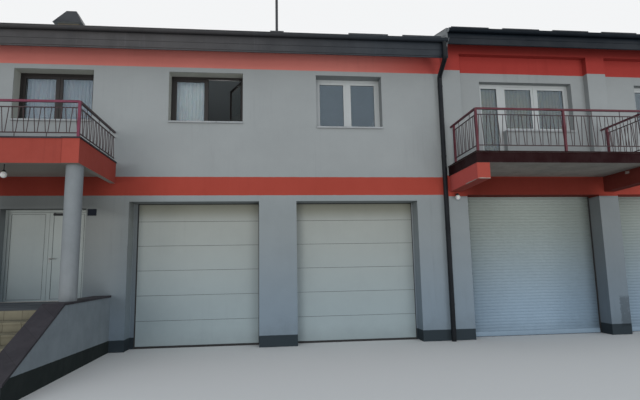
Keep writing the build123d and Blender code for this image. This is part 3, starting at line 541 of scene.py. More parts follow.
def shutter_coat():
    colour = scaled(look().shutter, 1.22)
    return coated("shutter_coat", colour, 0.92, 0.45, (0.86, 0.98, 1.15), (1.0, 0.94, 0.8), bend=0.01)


def entry_coat():
    # The entrance colour carries painted shade of the balcony over it
    return coated("entry_coat", look().entry, 0.95, 0.42)


def white_profile():
    return coated("white_profile", look().frame_white, 0.9, 0.35, 1.0, 1.0, wave=12.0)


def brown_profile():
    made = Finish("brown_profile", Coat_Weight=0.08, Coat_Roughness=0.4)
    grain = made.noise(1.0, 5, 0.6, at=made.vector("MULTIPLY", made.place, (30.0, 30.0, 2.5)))
    colour = made.mix(made.rise(grain, 0.35, 0.7), look().frame_brown, scaled(look().frame_brown, 1.7))
    return made.done(made.shade(colour, made.noise(3.0), 0.85), (grain, 0.35, 0.55), (grain, 0.2, 0.001))


def clear_glass():
    made = Finish(
        "clear_glass", Transmission_Weight=0.98, IOR=1.7, Metallic=0.0, Specular_Tint=(0.62, 0.8, 1.0)
    )
    dust = made.rise(made.noise(1.6, 6, 0.7), 0.4, 0.8)
    colour = made.mix(dust, (0.86, 0.92, 0.93), (0.78, 0.83, 0.83))
    return made.done(colour, (dust, 0.01, 0.07), (made.noise(1.1, 1), 0.05, 0.02))


def rubber():
    made = Finish("rubber")
    shade = made.noise(9.0, 4)
    colour = made.mix(shade, (0.012, 0.012, 0.013), (0.03, 0.03, 0.031))
    return made.done(colour, (shade, 0.6, 0.8), (made.noise(300.0, 2), 0.2, 0.0006))


def bare_metal():
    made = Finish("bare_metal", Metallic=1.0)
    brushed = made.noise(1.0, 3, at=made.vector("MULTIPLY", made.place, (400.0, 400.0, 40.0)))
    colour = made.mix(brushed, (0.42, 0.42, 0.42), (0.58, 0.57, 0.55))
    return made.done(colour, (brushed, 0.28, 0.45), (brushed, 0.1, 0.0006))


def sill_sheet():
    made = Finish("sill_sheet", Coat_Weight=0.1)
    colour, blotches = made.weathered((0.3, 0.32, 0.33), 0.6, 0.85, 0.05, 0.4)
    return made.done(colour, (blotches, 0.4, 0.6), (made.noise(60.0), 0.1, 0.001))


def coping_stone():
    made = Finish("coping_stone", matt=True)
    along = made.join(made.maths("ADD", made.x, made.y), 0.2)
    joint, tone = made.effect("Stone Joints", Vector=along, Length=0.6, Height=2.0, Gap=0.004)
    colour = made.mix(tone, look().coping, scaled(look().coping, 1.35))
    colour, blotches = made.weathered(colour, 1.25, 0.85, 0.1, 0.5)
    height = made.minus(made.grain(40.0, 0.4)[0], joint)
    return made.done(made.shade(colour, joint, 0.45), (blotches, 0.5, 0.75), (height, 0.3, 0.004))


def stair_cladding():
    made = Finish("stair_cladding", matt=True)
    up = made.over(made.normals()[2], 0.5)
    flat = made.join(made.x, made.between(up, made.z, made.y))
    joint, tone = made.effect("Stone Joints", Vector=flat, Length=0.31, Height=0.17143, Gap=0.005)
    colour = made.mix(tone, scaled(look().stone, 0.85), scaled(look().stone, 1.1))
    colour = made.shade(colour, joint, 0.4)
    landing = made.times(up, made.over(made.y, LANDING_Y))
    tile_joint, tile_tone = made.effect("Stone Joints", Vector=flat, Length=0.4, Height=0.4, Gap=0.006)
    tile = made.mix(tile_tone, (0.066, 0.077, 0.09), (0.092, 0.104, 0.118))
    colour = made.mix(landing, colour, made.shade(tile, tile_joint, 0.4))
    colour, blotches = made.weathered(colour, 0.75, 0.85, 0.1, 0.5)
    height = made.minus(made.grain(55.0, 0.3)[0], joint)
    return made.done(colour, (blotches, 0.6, 0.85), (height, 0.35, 0.004))


def cheek_render():
    made = Finish("cheek_render", matt=True)
    # The lower wall's colour, darkened partly as painted shade of the ground storey
    colour, blotches = made.weathered(scaled(look().wall_low, 1.08), 0.85, 0.86, 0.1, 0.6)
    # The plinth's edge follows the ground, which falls by 23 mm a metre
    fallen = made.maths("MULTIPLY_ADD", made.maths("ADD", made.y, -STREET_Y), 0.023, made.z)
    foot = made.band(-1.0, PLINTH_HIGH, Vector=made.join(made.x, made.y, fallen))
    colour = made.mix(foot, colour, (0.02, 0.026, 0.026))
    return made.done(colour, (blotches, 0.75, 0.92), (made.grain(60.0, 0.4)[0], 0.35, 0.005))


def column_paint():
    made = Finish("column_paint", matt=True)
    colour, blotches = made.weathered((0.215, 0.236, 0.25), 0.78, 0.9, 0.07, 0.5)
    colour = made.shade(colour, made.splash(1.6), 0.85)
    return made.done(colour, (blotches, 0.7, 0.9), (made.grain(60.0, 0.4)[0], 0.3, 0.004))


def chimney_plaster():
    made = Finish("chimney_plaster", matt=True)
    colour, blotches = made.weathered((0.14, 0.118, 0.085), 0.6, 0.8, 0.08, 0.4)
    return made.done(colour, (blotches, 0.8, 0.95), (made.grain(50.0, 0.4)[0], 0.4, 0.006))


def rail_paint():
    made = Finish("rail_paint", Coat_Weight=0.2, Coat_Roughness=0.3)
    # Handrails and posts are crimson, the bars between them dark
    masks = []
    for low, high in (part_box("railing_left"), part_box("railing_right")):
        middle = (low.x + high.x) / 2
        on_right = low.x > 0
        half = ((high.x - low.x) / 2 + 0.05, 2.0 if on_right else 0.09, 0.05)
        masks.append(made.box((middle, low.y, high.z), half))
        for x in (low.x, middle, high.x) if on_right else (low.x, high.x):
            masks.append(made.box((x, low.y, (low.z + high.z) / 2), (0.06, 0.09, 0.8)))
        for x in (low.x, high.x) if on_right else ():
            masks.append(made.box((x, -5.69, low.z), (0.06, 0.09, 1.2)))
    worn = made.noise(6.0, 6, 0.7)
    crimson = made.mix(made.under(made.x, 0.0), look().rail, (0.15, 0.02, 0.05))
    crimson = made.shade(crimson, made.rise(worn, 0.4, 0.75), 0.7)
    dark = made.mix(made.rise(worn, 0.45, 0.8), (0.027, 0.01, 0.013), (0.06, 0.028, 0.026))
    colour = made.mix(made.most(*masks), dark, crimson)
    return made.done(colour, (worn, 0.35, 0.65), (made.noise(90.0, 3), 0.12, 0.001))


def opal_glass():
    made = Finish("opal_glass", Coat_Weight=0.5, Coat_Roughness=0.05, Subsurface_Weight=0.2)
    film = made.rise(made.noise(12.0, 4), 0.3, 0.8)
    return made.done(made.mix(film, (0.68, 0.69, 0.68), (0.55, 0.56, 0.55)), (film, 0.15, 0.35))


def plate_enamel():
    made = Finish("plate_enamel", Coat_Weight=0.05, Coat_Roughness=0.5, Specular_IOR_Level=0.2)
    shade = made.noise(14.0, 4)
    colour = made.mix(shade, (0.005, 0.007, 0.012), (0.01, 0.013, 0.02))
    return made.done(colour, (shade, 0.5, 0.65), (shade, 0.05, 0.001))


def curtain_cloth():
    made = Finish("curtain_cloth", Subsurface_Weight=0.1)
    threads = made.vector("MULTIPLY", made.place, (420.0, 60.0, 420.0))
    weave = made.outputs("TexWave", {"Vector": threads, "Scale": 0.35, "Distortion": 1.5})["Fac"]
    voile = made.mix(made.under(made.x, -6.6), (0.7, 0.73, 0.75), (0.37, 0.4, 0.46))
    voile = made.shade(voile, made.noise(4.0), 0.85)
    lined = made.shade((0.175, 0.155, 0.08), made.over(made.x, 4.335), 0.78)
    colour = made.mix(made.over(made.x, 0.0), voile, lined)
    return made.done(colour, (weave, 0.8, 0.95), (weave, 0.15, 0.0006))


@functools.cache
def finish(make):
    """The material of a finish, made when it is first asked for."""
    return make()


CAD_FINISHES = {
    painted_render: (
        "entry_wall_left entry_wall_right entry_wall_head front_piers door_lintels upper_wall_left "
        "top_beam infill_walls gable_walls back_wall_left back_wall_right"
    ),
    red_paint: "balcony_left balcony_consoles",
    plain_concrete: "ground_floor upper_floors",
    sheet_metal: "roof_left roof_right gutters chimney_hood roof_mast snow_guards",
    pipe_sheet: "downpipes",
    garage_coat: "garage_doors",
    shutter_coat: "roller_shutters",
    brown_profile: "window_frames_brown open_sash",
    white_profile: "window_frames_white",
    entry_coat: "entry_frame entry_leaf_left entry_leaf_right",
    clear_glass: "window_panes",
    sill_sheet: "window_sills",
    bare_metal: "entry_handle frame_hinges leaf_hinges_left leaf_hinges_right",
    coping_stone: "copings",
    slab_edge: "balcony_slab_right",
    rail_paint: "railing_left railing_right",
    stair_cladding: "entrance_stair stair_treads",
    cheek_render: "cheek_walls",
    column_paint: "entry_columns",
    chimney_plaster: "chimney",
    opal_glass: "wall_lamps",
    plate_enamel: "number_plate",
}


# Shapes


def meshes(count):
    return [bmesh.new() for _ in range(count)]


def bar(bm, low, high, edge=0.0, turn=None):
    """A box between two corners, turned about its middle, with its edges rounded."""
    low, high = Vector(low), Vector(high)
    place = Matrix.Translation((low + high) / 2)
    if turn is not None:
        place = place @ turn
    place = place @ Matrix.Diagonal((*(high - low), 1.0))
    made = bmesh.ops.create_cube(bm, size=1.0, matrix=place)["verts"]
    if edge > 0:
        edges = list({e for v in made for e in v.link_edges})
        bmesh.ops.bevel(
            bm, geom=edges, offset=edge, offset_type="OFFSET", segments=2, profile=0.5, affect="EDGES",
            material=-1, clamp_overlap=True,
        )


def rod(bm, start, end, radius, sides=16):
    """A round bar from start to end."""
    start, end = Vector(start), Vector(end)
    turn = (end - start).to_track_quat("Z", "Y").to_matrix().to_4x4()
    bmesh.ops.create_cone(
        bm, cap_ends=True, segments=sides, radius1=radius, radius2=radius, depth=(end - start).length,
        matrix=Matrix.Translation((start + end) / 2) @ turn,
    )


def turned(bm, outline, foot, steps):
    """A lathed form: outline points are (radius, height) over the foot."""
    foot = Vector(foot)
    verts = [bm.verts.new(foot + Vector((r, 0, z))) for r, z in outline]
    edges = [bm.edges.new(pair) for pair in zip(verts, verts[1:])]
    bmesh.ops.spin(
        bm, geom=verts + edges, cent=foot, axis=(0, 0, 1), angle=2 * math.pi, steps=steps, use_merge=True
    )


def ring(bm, low, high, width, edge=0.0):
    """Four bars round the sides of an upright rectangle between two corners."""
    x0, y0, z0 = low
    x1, y1, z1 = high
    bar(bm, (x0, y0, z0), (x0 + width, y1, z1), edge)
    bar(bm, (x1 - width, y0, z0), (x1, y1, z1), edge)
    bar(bm, (x0 + width, y0, z0), (x1 - width, y1, z0 + width), edge)
    bar(bm, (x0 + width, y0, z1 - width), (x1 - width, y1, z1), edge)


def up_slope(bm, x0, x1, side, eave, start, end, low, high, edge=0.0):
    """A strip on a roof slope: start and end along the slope from the eave, low and high over it."""
    middle, lift = (start + end) / 2, (low + high) / 2
    y = -side * (EAVE_Y - middle * math.cos(PITCH) + lift * math.sin(PITCH))
    z = eave + middle * math.sin(PITCH) + lift * math.cos(PITCH)
    centre = Vector(((x0 + x1) / 2, y, z))
    half = Vector((x1 - x0, end - start, high - low)) / 2
    bar(bm, centre - half, centre + half, edge, Matrix.Rotation(side * PITCH, 4, "X"))


def piece(name, bm, material, body="building", stands_for=(), smooth=None):
    """Makes an object of a mesh, gives it its finish and lets it ride on a body."""
    bmesh.ops.remove_doubles(bm, verts=bm.verts, dist=1e-6)
    bmesh.ops.recalc_face_normals(bm, faces=bm.faces)
    mesh = bpy.data.meshes.new(name)
    bm.to_mesh(mesh)
    bm.free()
    made = bpy.data.objects.new(name, mesh)
    bpy.context.collection.objects.link(made)
    mesh.materials.append(finish(material))
    if smooth is not None:
        mesh.shade_smooth()
        mesh.set_sharp_from_angle(angle=math.radians(smooth))
    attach(made, body)
    if stands_for:
        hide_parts(*stands_for)
    return made


def solids(name):
    """The lowest and highest corner of each solid in a CAD node."""
    bm = bmesh.new()
    bm.from_mesh(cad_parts[name].data)
    bmesh.ops.remove_doubles(bm, verts=bm.verts, dist=1e-5)
    seen, boxes = set(), []
    for first in bm.verts:
        if first in seen:
            continue
        seen.add(first)
        todo, low, high = [first], first.co.copy(), first.co.copy()
        while todo:
            vert = todo.pop()
            low = Vector(map(min, low, vert.co))
            high = Vector(map(max, high, vert.co))
            for other in {edge.other_vert(vert) for edge in vert.link_edges} - seen:
                seen.add(other)
                todo.append(other)
        boxes.append((low, high))
    bm.free()
    return sorted(boxes, key=lambda box: (round(box[0].y, 2), round(box[0].x, 2), box[0].z))


class PieceOperator(Operator):
    bl_options = {"REGISTER", "UNDO"}

    def execute(self, context):
        self.make()
        return {"FINISHED"}


class FIRE_OT_finishes(PieceOperator):
    """Gives every part of the frame its finish"""

    bl_idname = "fire.finishes"
    bl_label = "Finishes"

    def make(self):
        left = set(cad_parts)
        for material, names in CAD_FINISHES.items():
            for name in names.split():
                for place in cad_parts[name].material_slots:
                    place.material = finish(material)
                left.discard(name)
        if left:
            raise RuntimeError(f"these parts have no finish: {sorted(left)}")


class FIRE_OT_garage_doors(PieceOperator):
    """Makes the sections, seals and the dark strips of painted shade in the joints of the two sectional doors
    """

    bl_idname = "fire.garage_doors"
    bl_label = "Garage doors"

    # Left jamb, left gap, right jamb and right gap of each door, as wide as the photograph shows them
    margins = ((0.1, 0.03, 0.004, 0.018), (0.01, 0.012, 0.035, 0.016))

    def make(self):
        sections, joint_shade, seals, jambs = meshes(4)
        boxes = solids("garage_doors")
        for low, high in boxes:
            bar(sections, low, high, 0.006)
            # A dark strip at the back of the joint over the section, as painted shade in the joint
            joint_low = (low.x + 0.002, low.y + 0.003, high.z - 0.006)
            bar(joint_shade, joint_low, (high.x - 0.002, high.y - 0.004, high.z + 0.01))
        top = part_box("door_lintels")[0].z
        doors = {round(low.x, 2): (low, high) for low, high in boxes}
        for x, margin in zip(sorted(doors), self.margins, strict=True):
            left_jamb, left_gap, right_jamb, right_gap = margin
            low, high = doors[x]
            outer_left, outer_right = low.x + BEHIND_JAMB, high.x - BEHIND_JAMB
            left, right = outer_left + left_jamb, outer_right - right_jamb
            for bm, x0, x1, z0, z1, proud, edge in (
                (jambs, outer_left, left, 0.0, top, 0.014, 0.002),
                (jambs, right, outer_right, 0.0, top, 0.014, 0.002),
                (seals, left, left + left_gap, 0.0, top, 0.012, 0.002),
                (seals, right - right_gap, right, 0.0, top, 0.012, 0.002),
                (seals, left, right, top - 0.02, top, 0.012, 0.003),
                (seals, left + left_gap, right - right_gap, 0.002, 0.05, 0.02, 0.006),
            ):
                bar(bm, (x0, low.y - proud, z0), (x1, low.y - 0.001, z1), edge)
        piece("garage_door_sections", sections, garage_coat, stands_for=["garage_doors"])
        piece("garage_door_gaps", joint_shade, rubber)
        piece("garage_door_seals", seals, rubber)
        piece("garage_door_jambs", jambs, painted_render)


class FIRE_OT_shutters(PieceOperator):
    """Makes the rounded slats, guide rails and bottom bars of the roller shutters"""

    bl_idname = "fire.shutters"
    bl_label = "Roller shutters"

    # Points of one slat's outline: part of its height, and depth behind the shutter's face
    slat = ((0.04, 0.012), (0.14, 0.003), (0.35, 0.0), (0.62, 0.0), (0.82, 0.003), (0.93, 0.012))

    def make(self):
        pitch = trim().lath_pitch
        slats, rails = meshes(2)
        for low, high in solids("roller_shutters"):
            face, foot = low.y, low.z + 0.085
            count = int((high.z - foot) / pitch)
            outline = [(face + 0.02, foot)]
            for i in range(count):
                outline += [(face + depth, foot + i * pitch + part * pitch) for part, depth in self.slat]
            outline.append((face + 0.02, foot + count * pitch))
            verts = [slats.verts.new((low.x, y, z)) for y, z in outline]
            edges = [slats.edges.new(pair) for pair in zip(verts, verts[1:])]
            grown = bmesh.ops.extrude_edge_only(slats, edges=edges)["geom"]
            moved = [item for item in grown if isinstance(item, bmesh.types.BMVert)]
            bmesh.ops.translate(slats, verts=moved, vec=(high.x - low.x, 0, 0))
            outer_left, outer_right = low.x + BEHIND_JAMB, high.x - BEHIND_JAMB
            left, right = outer_left + 0.03, outer_right - 0.035
            # The guide rails take the dark rubber finish as painted shade of the gaps beside the shutter
            bar(rails, (outer_left, face - 0.02, 0.0), (left, face - 0.001, BAND_LOW), 0.003)
            bar(rails, (right, face - 0.02, 0.0), (outer_right, face - 0.001, BAND_LOW), 0.003)
            bar(slats, (left, face - 0.014, 0.014), (right, face + 0.03, foot + 0.004), 0.006)
            bar(rails, (left, face - 0.01, 0.0), (right, face + 0.03, 0.016), 0.003)
        made = piece(
            "shutter_slats", slats, shutter_coat, stands_for=["roller_shutters"],
            smooth=40,
        )
        sheet = made.modifiers.new("sheet", "SOLIDIFY")
        sheet.thickness = 0.008
        sheet.offset = 0.0
        piece("shutter_guides", rails, rubber)


class FIRE_OT_window_trim(PieceOperator):
    """Makes the gaskets round the panes and the handles inside"""

    bl_idname = "fire.window_trim"
    bl_label = "Window gaskets and handles"

    def make(self):
        gaskets, handles = meshes(2)
        for low, high in solids("window_panes"):
            # The open sash's pane lies askew and has a deep box
            if high.y - low.y > 0.1:
                continue
            on_street = low.y < 0
            edge = low.y - 0.004 if on_street else high.y
            ring(gaskets, (low.x, edge, low.z), (high.x, edge + 0.004, high.z), trim().gasket)
            back, reach = (high.y + 0.02, 0.045) if on_street else (low.y - 0.02, -0.045)
            x, z = high.x + 0.03, (low.z + high.z) / 2
            rod(handles, (x, back, z), (x, back + reach, z), 0.008, 10)
            y0, y1 = sorted((back + reach, back + reach * 0.7))
            bar(handles, (x - 0.008, y0, z - 0.11), (x + 0.008, y1, z + 0.012), 0.003)
        piece("window_gaskets", gaskets, rubber)
        piece("window_handles", handles, white_profile)


class FIRE_OT_curtains(PieceOperator):
    """Hangs the curtains behind the panes on their rails"""

    bl_idname = "fire.curtains"
    bl_label = "Curtains"

    # Name, from x, to x, height of the foot, number of folds and shift of the waves
    places = (
        ("curtain_1_left", -9.36, -8.47, 5.42, 9, 0.3),
        ("curtain_1_right", -8.42, -7.52, 5.42, 10, 1.7),
        ("curtain_2_left", -5.66, -4.78, 5.42, 9, 2.9),
        ("curtain_terrace_door", 2.65, 3.3, 4.47, 7, 0.9),
        ("curtain_terrace_left", 3.36, 4.31, 5.35, 10, 4.1),
        ("curtain_terrace_right", 4.36, 5.2, 5.35, 9, 5.2),
    )
    rails = ((-9.45, -7.45), (-5.72, -4.7), (2.55, 5.4))
    rail_y, rail_z, wall_y = -4.86, 6.93, -4.95

    def make(self):
        y, z = self.rail_y, self.rail_z
        rails = bmesh.new()
        for x0, x1 in self.rails:
            rod(rails, (x0, y, z), (x1, y, z), 0.011, 14)
            for x in (x0 + 0.06, (x0 + x1) / 2, x1 - 0.06):
                rod(rails, (x, y, z), (x, self.wall_y - 0.001, z), 0.007, 10)
                rod(rails, (x, self.wall_y - 0.007, z), (x, self.wall_y, z), 0.022, 14)
        piece("curtain_rails", rails, bare_metal, smooth=30)

        head = z - 0.012
        for name, x0, x1, foot, folds, shift in self.places:
            drop = head - foot
            fold_depth = trim().fold_depth * (1.0 if x0 < 0 else 0.45)
            bm = bmesh.new()
            bmesh.ops.create_grid(bm, x_segments=folds * 10, y_segments=24, size=0.5)
            for vert in bm.verts:
                across, down = vert.co.x + 0.5, 0.5 - vert.co.y
                phase = across * folds * 2 * math.pi + 0.5 * math.sin(3.1 * across + shift)
                phase += 0.15 * math.sin(5 * down + shift)
                depth = fold_depth * (0.35 + 0.65 * down) * (0.8 + 0.2 * math.sin(9.0 * across + shift))
                sway = 0.012 * math.sin(2.1 * down + shift) * down
                lean = 0.006 * math.sin(phase * 2.0 + shift)
                vert.co = Vector((
                    x0 + across * (x1 - x0) + lean, y + depth * math.sin(phase) + sway, head - down * drop
                ))
            area = sum(face.calc_area() for face in bm.faces)
            made = piece(name, bm, curtain_cloth, smooth=180)


class FIRE_OT_roof_sheets(PieceOperator):
    """Makes the standing seams, ridge caps, verge sheets and chimney flashing"""

    bl_idname = "fire.roof_sheets"
    bl_label = "Roof sheets"

    def make(self):
        seams, caps = meshes(2)
        slope = EAVE_Y / math.cos(PITCH)
        tall = trim().seam_height
        for x0, x1, eave in ROOFS:
            count = max(1, round((x1 - x0) / trim().seam_pitch))
            for side in (1, -1):
                for i in range(1, count):
                    x = x0 + i * (x1 - x0) / count
                    up_slope(seams, x - 0.006, x + 0.006, side, eave, 0.0, slope, -0.002, tall)
                    up_slope(seams, x - 0.011, x + 0.011, side, eave, 0.0, slope, tall - 0.008, tall)
                up_slope(caps, x0, x1, side, eave, slope - 0.22, slope, 0.028, 0.033)
                for x in (x0 - 0.008, x1 + 0.002):
                    up_slope(caps, x, x + 0.006, side, eave, 0.0, slope, -0.14, 0.02)
                    up_slope(caps, x, x + 0.06, side, eave, 0.0, slope, 0.0, 0.03, 0.004)
            ridge = eave + EAVE_Y * math.tan(PITCH) + 0.03
            rod(caps, (x0, 0, ridge), (x1, 0, ridge), 0.03, 12)
        low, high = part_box("chimney")
        for x0, x1, end in (
            (low.x - 0.05, low.x + 0.01, 4.3), (high.x - 0.01, high.x + 0.05, 4.3),
            (low.x - 0.05, high.x + 0.05, 3.58),
        ):
            up_slope(caps, x0, x1, 1, ROOFS[0][2], 3.5, end, 0.0, 0.09, 0.004)
        piece("roof_seams", seams, sheet_metal)
        piece("roof_caps", caps, sheet_metal)


class FIRE_OT_eaves(PieceOperator):
    """Makes the eave strips, the drip boards and the gutters' beads and brackets"""

    bl_idname = "fire.eaves"
    bl_label = "Eaves and gutters"

    # Height of the fascia and how far its drip board hangs below it, for each roof
    boards = ((0.46, 0.045), (0.4, 0.01))
    # Section of a gutter bracket: along the gutter, and from the gutter's middle
    iron = ((-0.014, 0.076), (0.014, 0.076), (0.014, 0.08), (-0.014, 0.08))

    def make(self):
        strips, irons = meshes(2)
        for (x0, x1, eave), (depth, hang) in zip(ROOFS, self.boards, strict=True):
            under, top = eave - depth, eave - 0.04
            for side in (-1, 1):
                face = side * EAVE_Y
                for z0, z1, back, proud, edge in (
                    (under - hang, under + 0.004, 0.03, 0.0, 0.002),
                    (under - 0.006, under + 0.03, 0.002, 0.012, 0.003),
                    (under + 0.16, under + 0.178, 0.002, 0.0096, 0.003),
                    (eave - 0.03, eave + 0.006, 0.002, 0.0144, 0.003),
                ):
                    y0, y1 = sorted((face - side * back, face + side * proud))
                    bar(strips, (x0, y0, z0), (x1, y1, z1), edge)
                centre, bead = face + side * 0.075, face + side * 0.15
                rod(strips, (x0, bead, top), (x1, bead, top), 0.011, 12)
                count = round((x1 - x0) / trim().bracket_pitch)
                for i in range(count + 1):
                    x = x0 + 0.08 + i * (x1 - x0 - 0.16) / count
                    verts = [irons.verts.new((x + dx, centre - side * r, top)) for dx, r in self.iron]
                    section = irons.faces.new(verts)
                    bmesh.ops.spin(
                        irons, geom=[section, *section.edges, *verts], cent=(x, centre, top),
                        axis=(1, 0, 0), angle=side * math.pi, steps=10, use_merge=False,
                    )
        piece("eave_strips", strips, sheet_metal, smooth=40)
        piece("gutter_brackets", irons, sheet_metal, smooth=40)


class FIRE_OT_balcony_trim(PieceOperator):
    """Makes the slab's folded edge sheet and the feet of the balconies' posts"""

    bl_idname = "fire.balcony_trim"
    bl_label = "Balcony trim"

    def make(self):
        sheets, feet = meshes(2)
        low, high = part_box("balcony_slab_right")
        for z0, z1, proud in ((low.z - 0.004, low.z + 0.02, 0.01), (high.z - 0.03, high.z + 0.004, 0.014)):
            bar(sheets, (low.x - proud, low.y - proud, z0), (high.x + proud, low.y, z1), 0.002)
            for x0, x1 in ((low.x - proud, low.x), (high.x, high.x + proud)):
                bar(sheets, (x0, low.y, z0), (x1, high.y - 0.002, z1), 0.002)
        for i in range(1, 5):
            x = low.x + i * (high.x - low.x) / 5
            bar(sheets, (x - 0.012, low.y - 0.003, low.z + 0.02), (x + 0.012, low.y, high.z - 0.03))
        piece("slab_edge_sheet", sheets, slab_edge)

        for low, high in (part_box("railing_left"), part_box("railing_right")):
            middle = ((low.x + high.x) / 2,) if low.x > 0 else ()
            for x in (low.x + 0.025, *middle, high.x - 0.025):
                y, z = low.y + 0.025, low.z + 0.008
                bar(feet, (x - 0.055, y - 0.055, low.z), (x + 0.055, y + 0.055, z), 0.002)
                for dx in (-0.038, 0.038):
                    for dy in (-0.038, 0.038):
                        rod(feet, (x + dx, y + dy, z), (x + dx, y + dy, z + 0.01), 0.009, 6)
        piece("rail_post_feet", feet, rail_paint, smooth=30)


class FIRE_OT_entrance_trim(PieceOperator):
    """Makes the gaskets, closer, lock and threshold of the entrance"""

    bl_idname = "fire.entrance_trim"
    bl_label = "Entrance trim"

    def make(self):
        # Each leaf's gasket lies round its field, whose stiles differ in width
        for side, left, right in (("left", 0.06, 0.092), ("right", 0.092, 0.06)):
            low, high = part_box(f"entry_leaf_{side}")
            bm = bmesh.new()
            for y0, y1 in ((low.y - 0.002, low.y + 0.004), (high.y - 0.004, high.y + 0.002)):
                ring(bm, (low.x + left, y0, low.z + 0.036), (high.x - right, y1, high.z - 0.036), 0.006)
            piece(f"leaf_gasket_{side}", bm, rubber, body=f"{side}_door")

        closer, lock, sill = meshes(3)
        low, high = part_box("entry_leaf_right")
        face = low.y
        x, z = low.x + 0.12, high.z - 0.02
        bar(closer, (x - 0.03, face - 0.045, z - 0.055), (x + 0.18, face - 0.001, z), 0.006)
        rod(closer, (x, face - 0.03, z), (x, face - 0.03, z + 0.014), 0.012, 14)
        piece("door_closer", closer, rubber, body="right_door")
        x, z = low.x + 0.04, LANDING_Z + 0.928
        rod(lock, (x, face - 0.016, z), (x, face - 0.007, z), 0.012, 20)
        bar(lock, (x - 0.002, face - 0.018, z - 0.006), (x + 0.002, face - 0.0155, z + 0.006))
        piece("door_lock", lock, bare_metal, body="right_door", smooth=30)

        low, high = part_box("entry_frame")
        y, z = -5.27, LANDING_Z + 0.006
        bar(sill, (low.x, y, z - 0.008), (high.x, y + 0.115, z), 0.002)
        for i in range(1, 6):
            groove = y + i * 0.019
            bar(sill, (low.x + 0.01, groove, z - 0.001), (high.x - 0.01, groove + 0.006, z + 0.003))
        piece("threshold_strip", sill, bare_metal)


class FIRE_OT_lamps(PieceOperator):
    """Makes the two globe lamps with their necks, arm and roses"""

    bl_idname = "fire.lamps"
    bl_label = "Lamps"

    radius = 0.0675
    neck = (
        (0.0, 0.05), (0.034, 0.05), (0.036, 0.058), (0.03, 0.062), (0.034, 0.068), (0.03, 0.074),
        (0.034, 0.08), (0.026, 0.09), (0.018, 0.1), (0.0, 0.102),
    )
    rose = ((0.0, -0.026), (0.03, -0.024), (0.044, -0.012), (0.047, 0.0), (0.0, 0.0))

    def make(self):
        glass, metal = meshes(2)
        for low, high in solids("wall_lamps"):
            hanging = high.z > 3.9
            x, z = (low.x + high.x) / 2, low.z + self.radius
            y = (low.y + high.y) / 2 if hanging else low.y + self.radius
            bmesh.ops.create_uvsphere(
                glass, u_segments=trim().globe_sides, v_segments=trim().globe_sides // 2,
                radius=self.radius, matrix=Matrix.Translation((x, y, z)),
            )
            turned(metal, self.neck, (x, y, z), 28)
            top, wall = z + 0.1, high.y
            if hanging:
                rod(metal, (x, y, top - 0.006), (x, y, high.z - 0.01), 0.009, 14)
                turned(metal, self.rose, (x, y, high.z), 28)
                continue
            for start, end in (
                ((x, y, top - 0.006), (x, y, top + 0.012)),
                ((x, y, top + 0.008), (x, y + 0.03, top + 0.012)),
                ((x, y + 0.026, top + 0.012), (x, wall - 0.004, top - 0.02)),
            ):
                rod(metal, start, end, 0.009, 14)
            bar(metal, (x - 0.024, wall - 0.012, top - 0.09), (x + 0.024, wall, top + 0.006), 0.004)
            for dz in (-0.075, -0.01):
                rod(metal, (x, wall - 0.016, top + dz), (x, wall - 0.011, top + dz), 0.006, 10)
        piece("lamp_globes", glass, opal_glass, stands_for=["wall_lamps"], smooth=180)
        piece("lamp_fittings", metal, rubber, smooth=35)


class FIRE_OT_plate_rim(PieceOperator):
    """Makes the raised rim and the screws of the plate beside the entrance"""

    bl_idname = "fire.plate_rim"
    bl_label = "Plate rim"

    def make(self):
        bm = bmesh.new()
        low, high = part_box("number_plate")
        ring(bm, (low.x, low.y - 0.003, low.z), (high.x, low.y + 0.002, high.z), 0.007, 0.001)
        z = (low.z + high.z) / 2
        for x in (low.x + 0.018, high.x - 0.018):
            rod(bm, (x, low.y - 0.003, z), (x, low.y + 0.001, z), 0.005, 12)
        piece("plate_rim", bm, plate_enamel, smooth=30)


def lamp(name, kind, power, place, **values):
    made = bpy.data.objects.new(name, bpy.data.lights.new(name, kind))
    made.data.energy = power
    for key, value in values.items():
        setattr(made.data, key, value)
    made.matrix_world = place
    bpy.context.scene.collection.objects.link(made)
    return made


def wide_light(name, power, towards, spread, **values):
    """Soft parallel light that comes from a direction and shows in no reflection."""
    place = Vector(towards).to_track_quat("Z", "Y").to_matrix().to_4x4()
    lamp(name, "SUN", power, place, angle=math.radians(spread), **values).visible_glossy = False


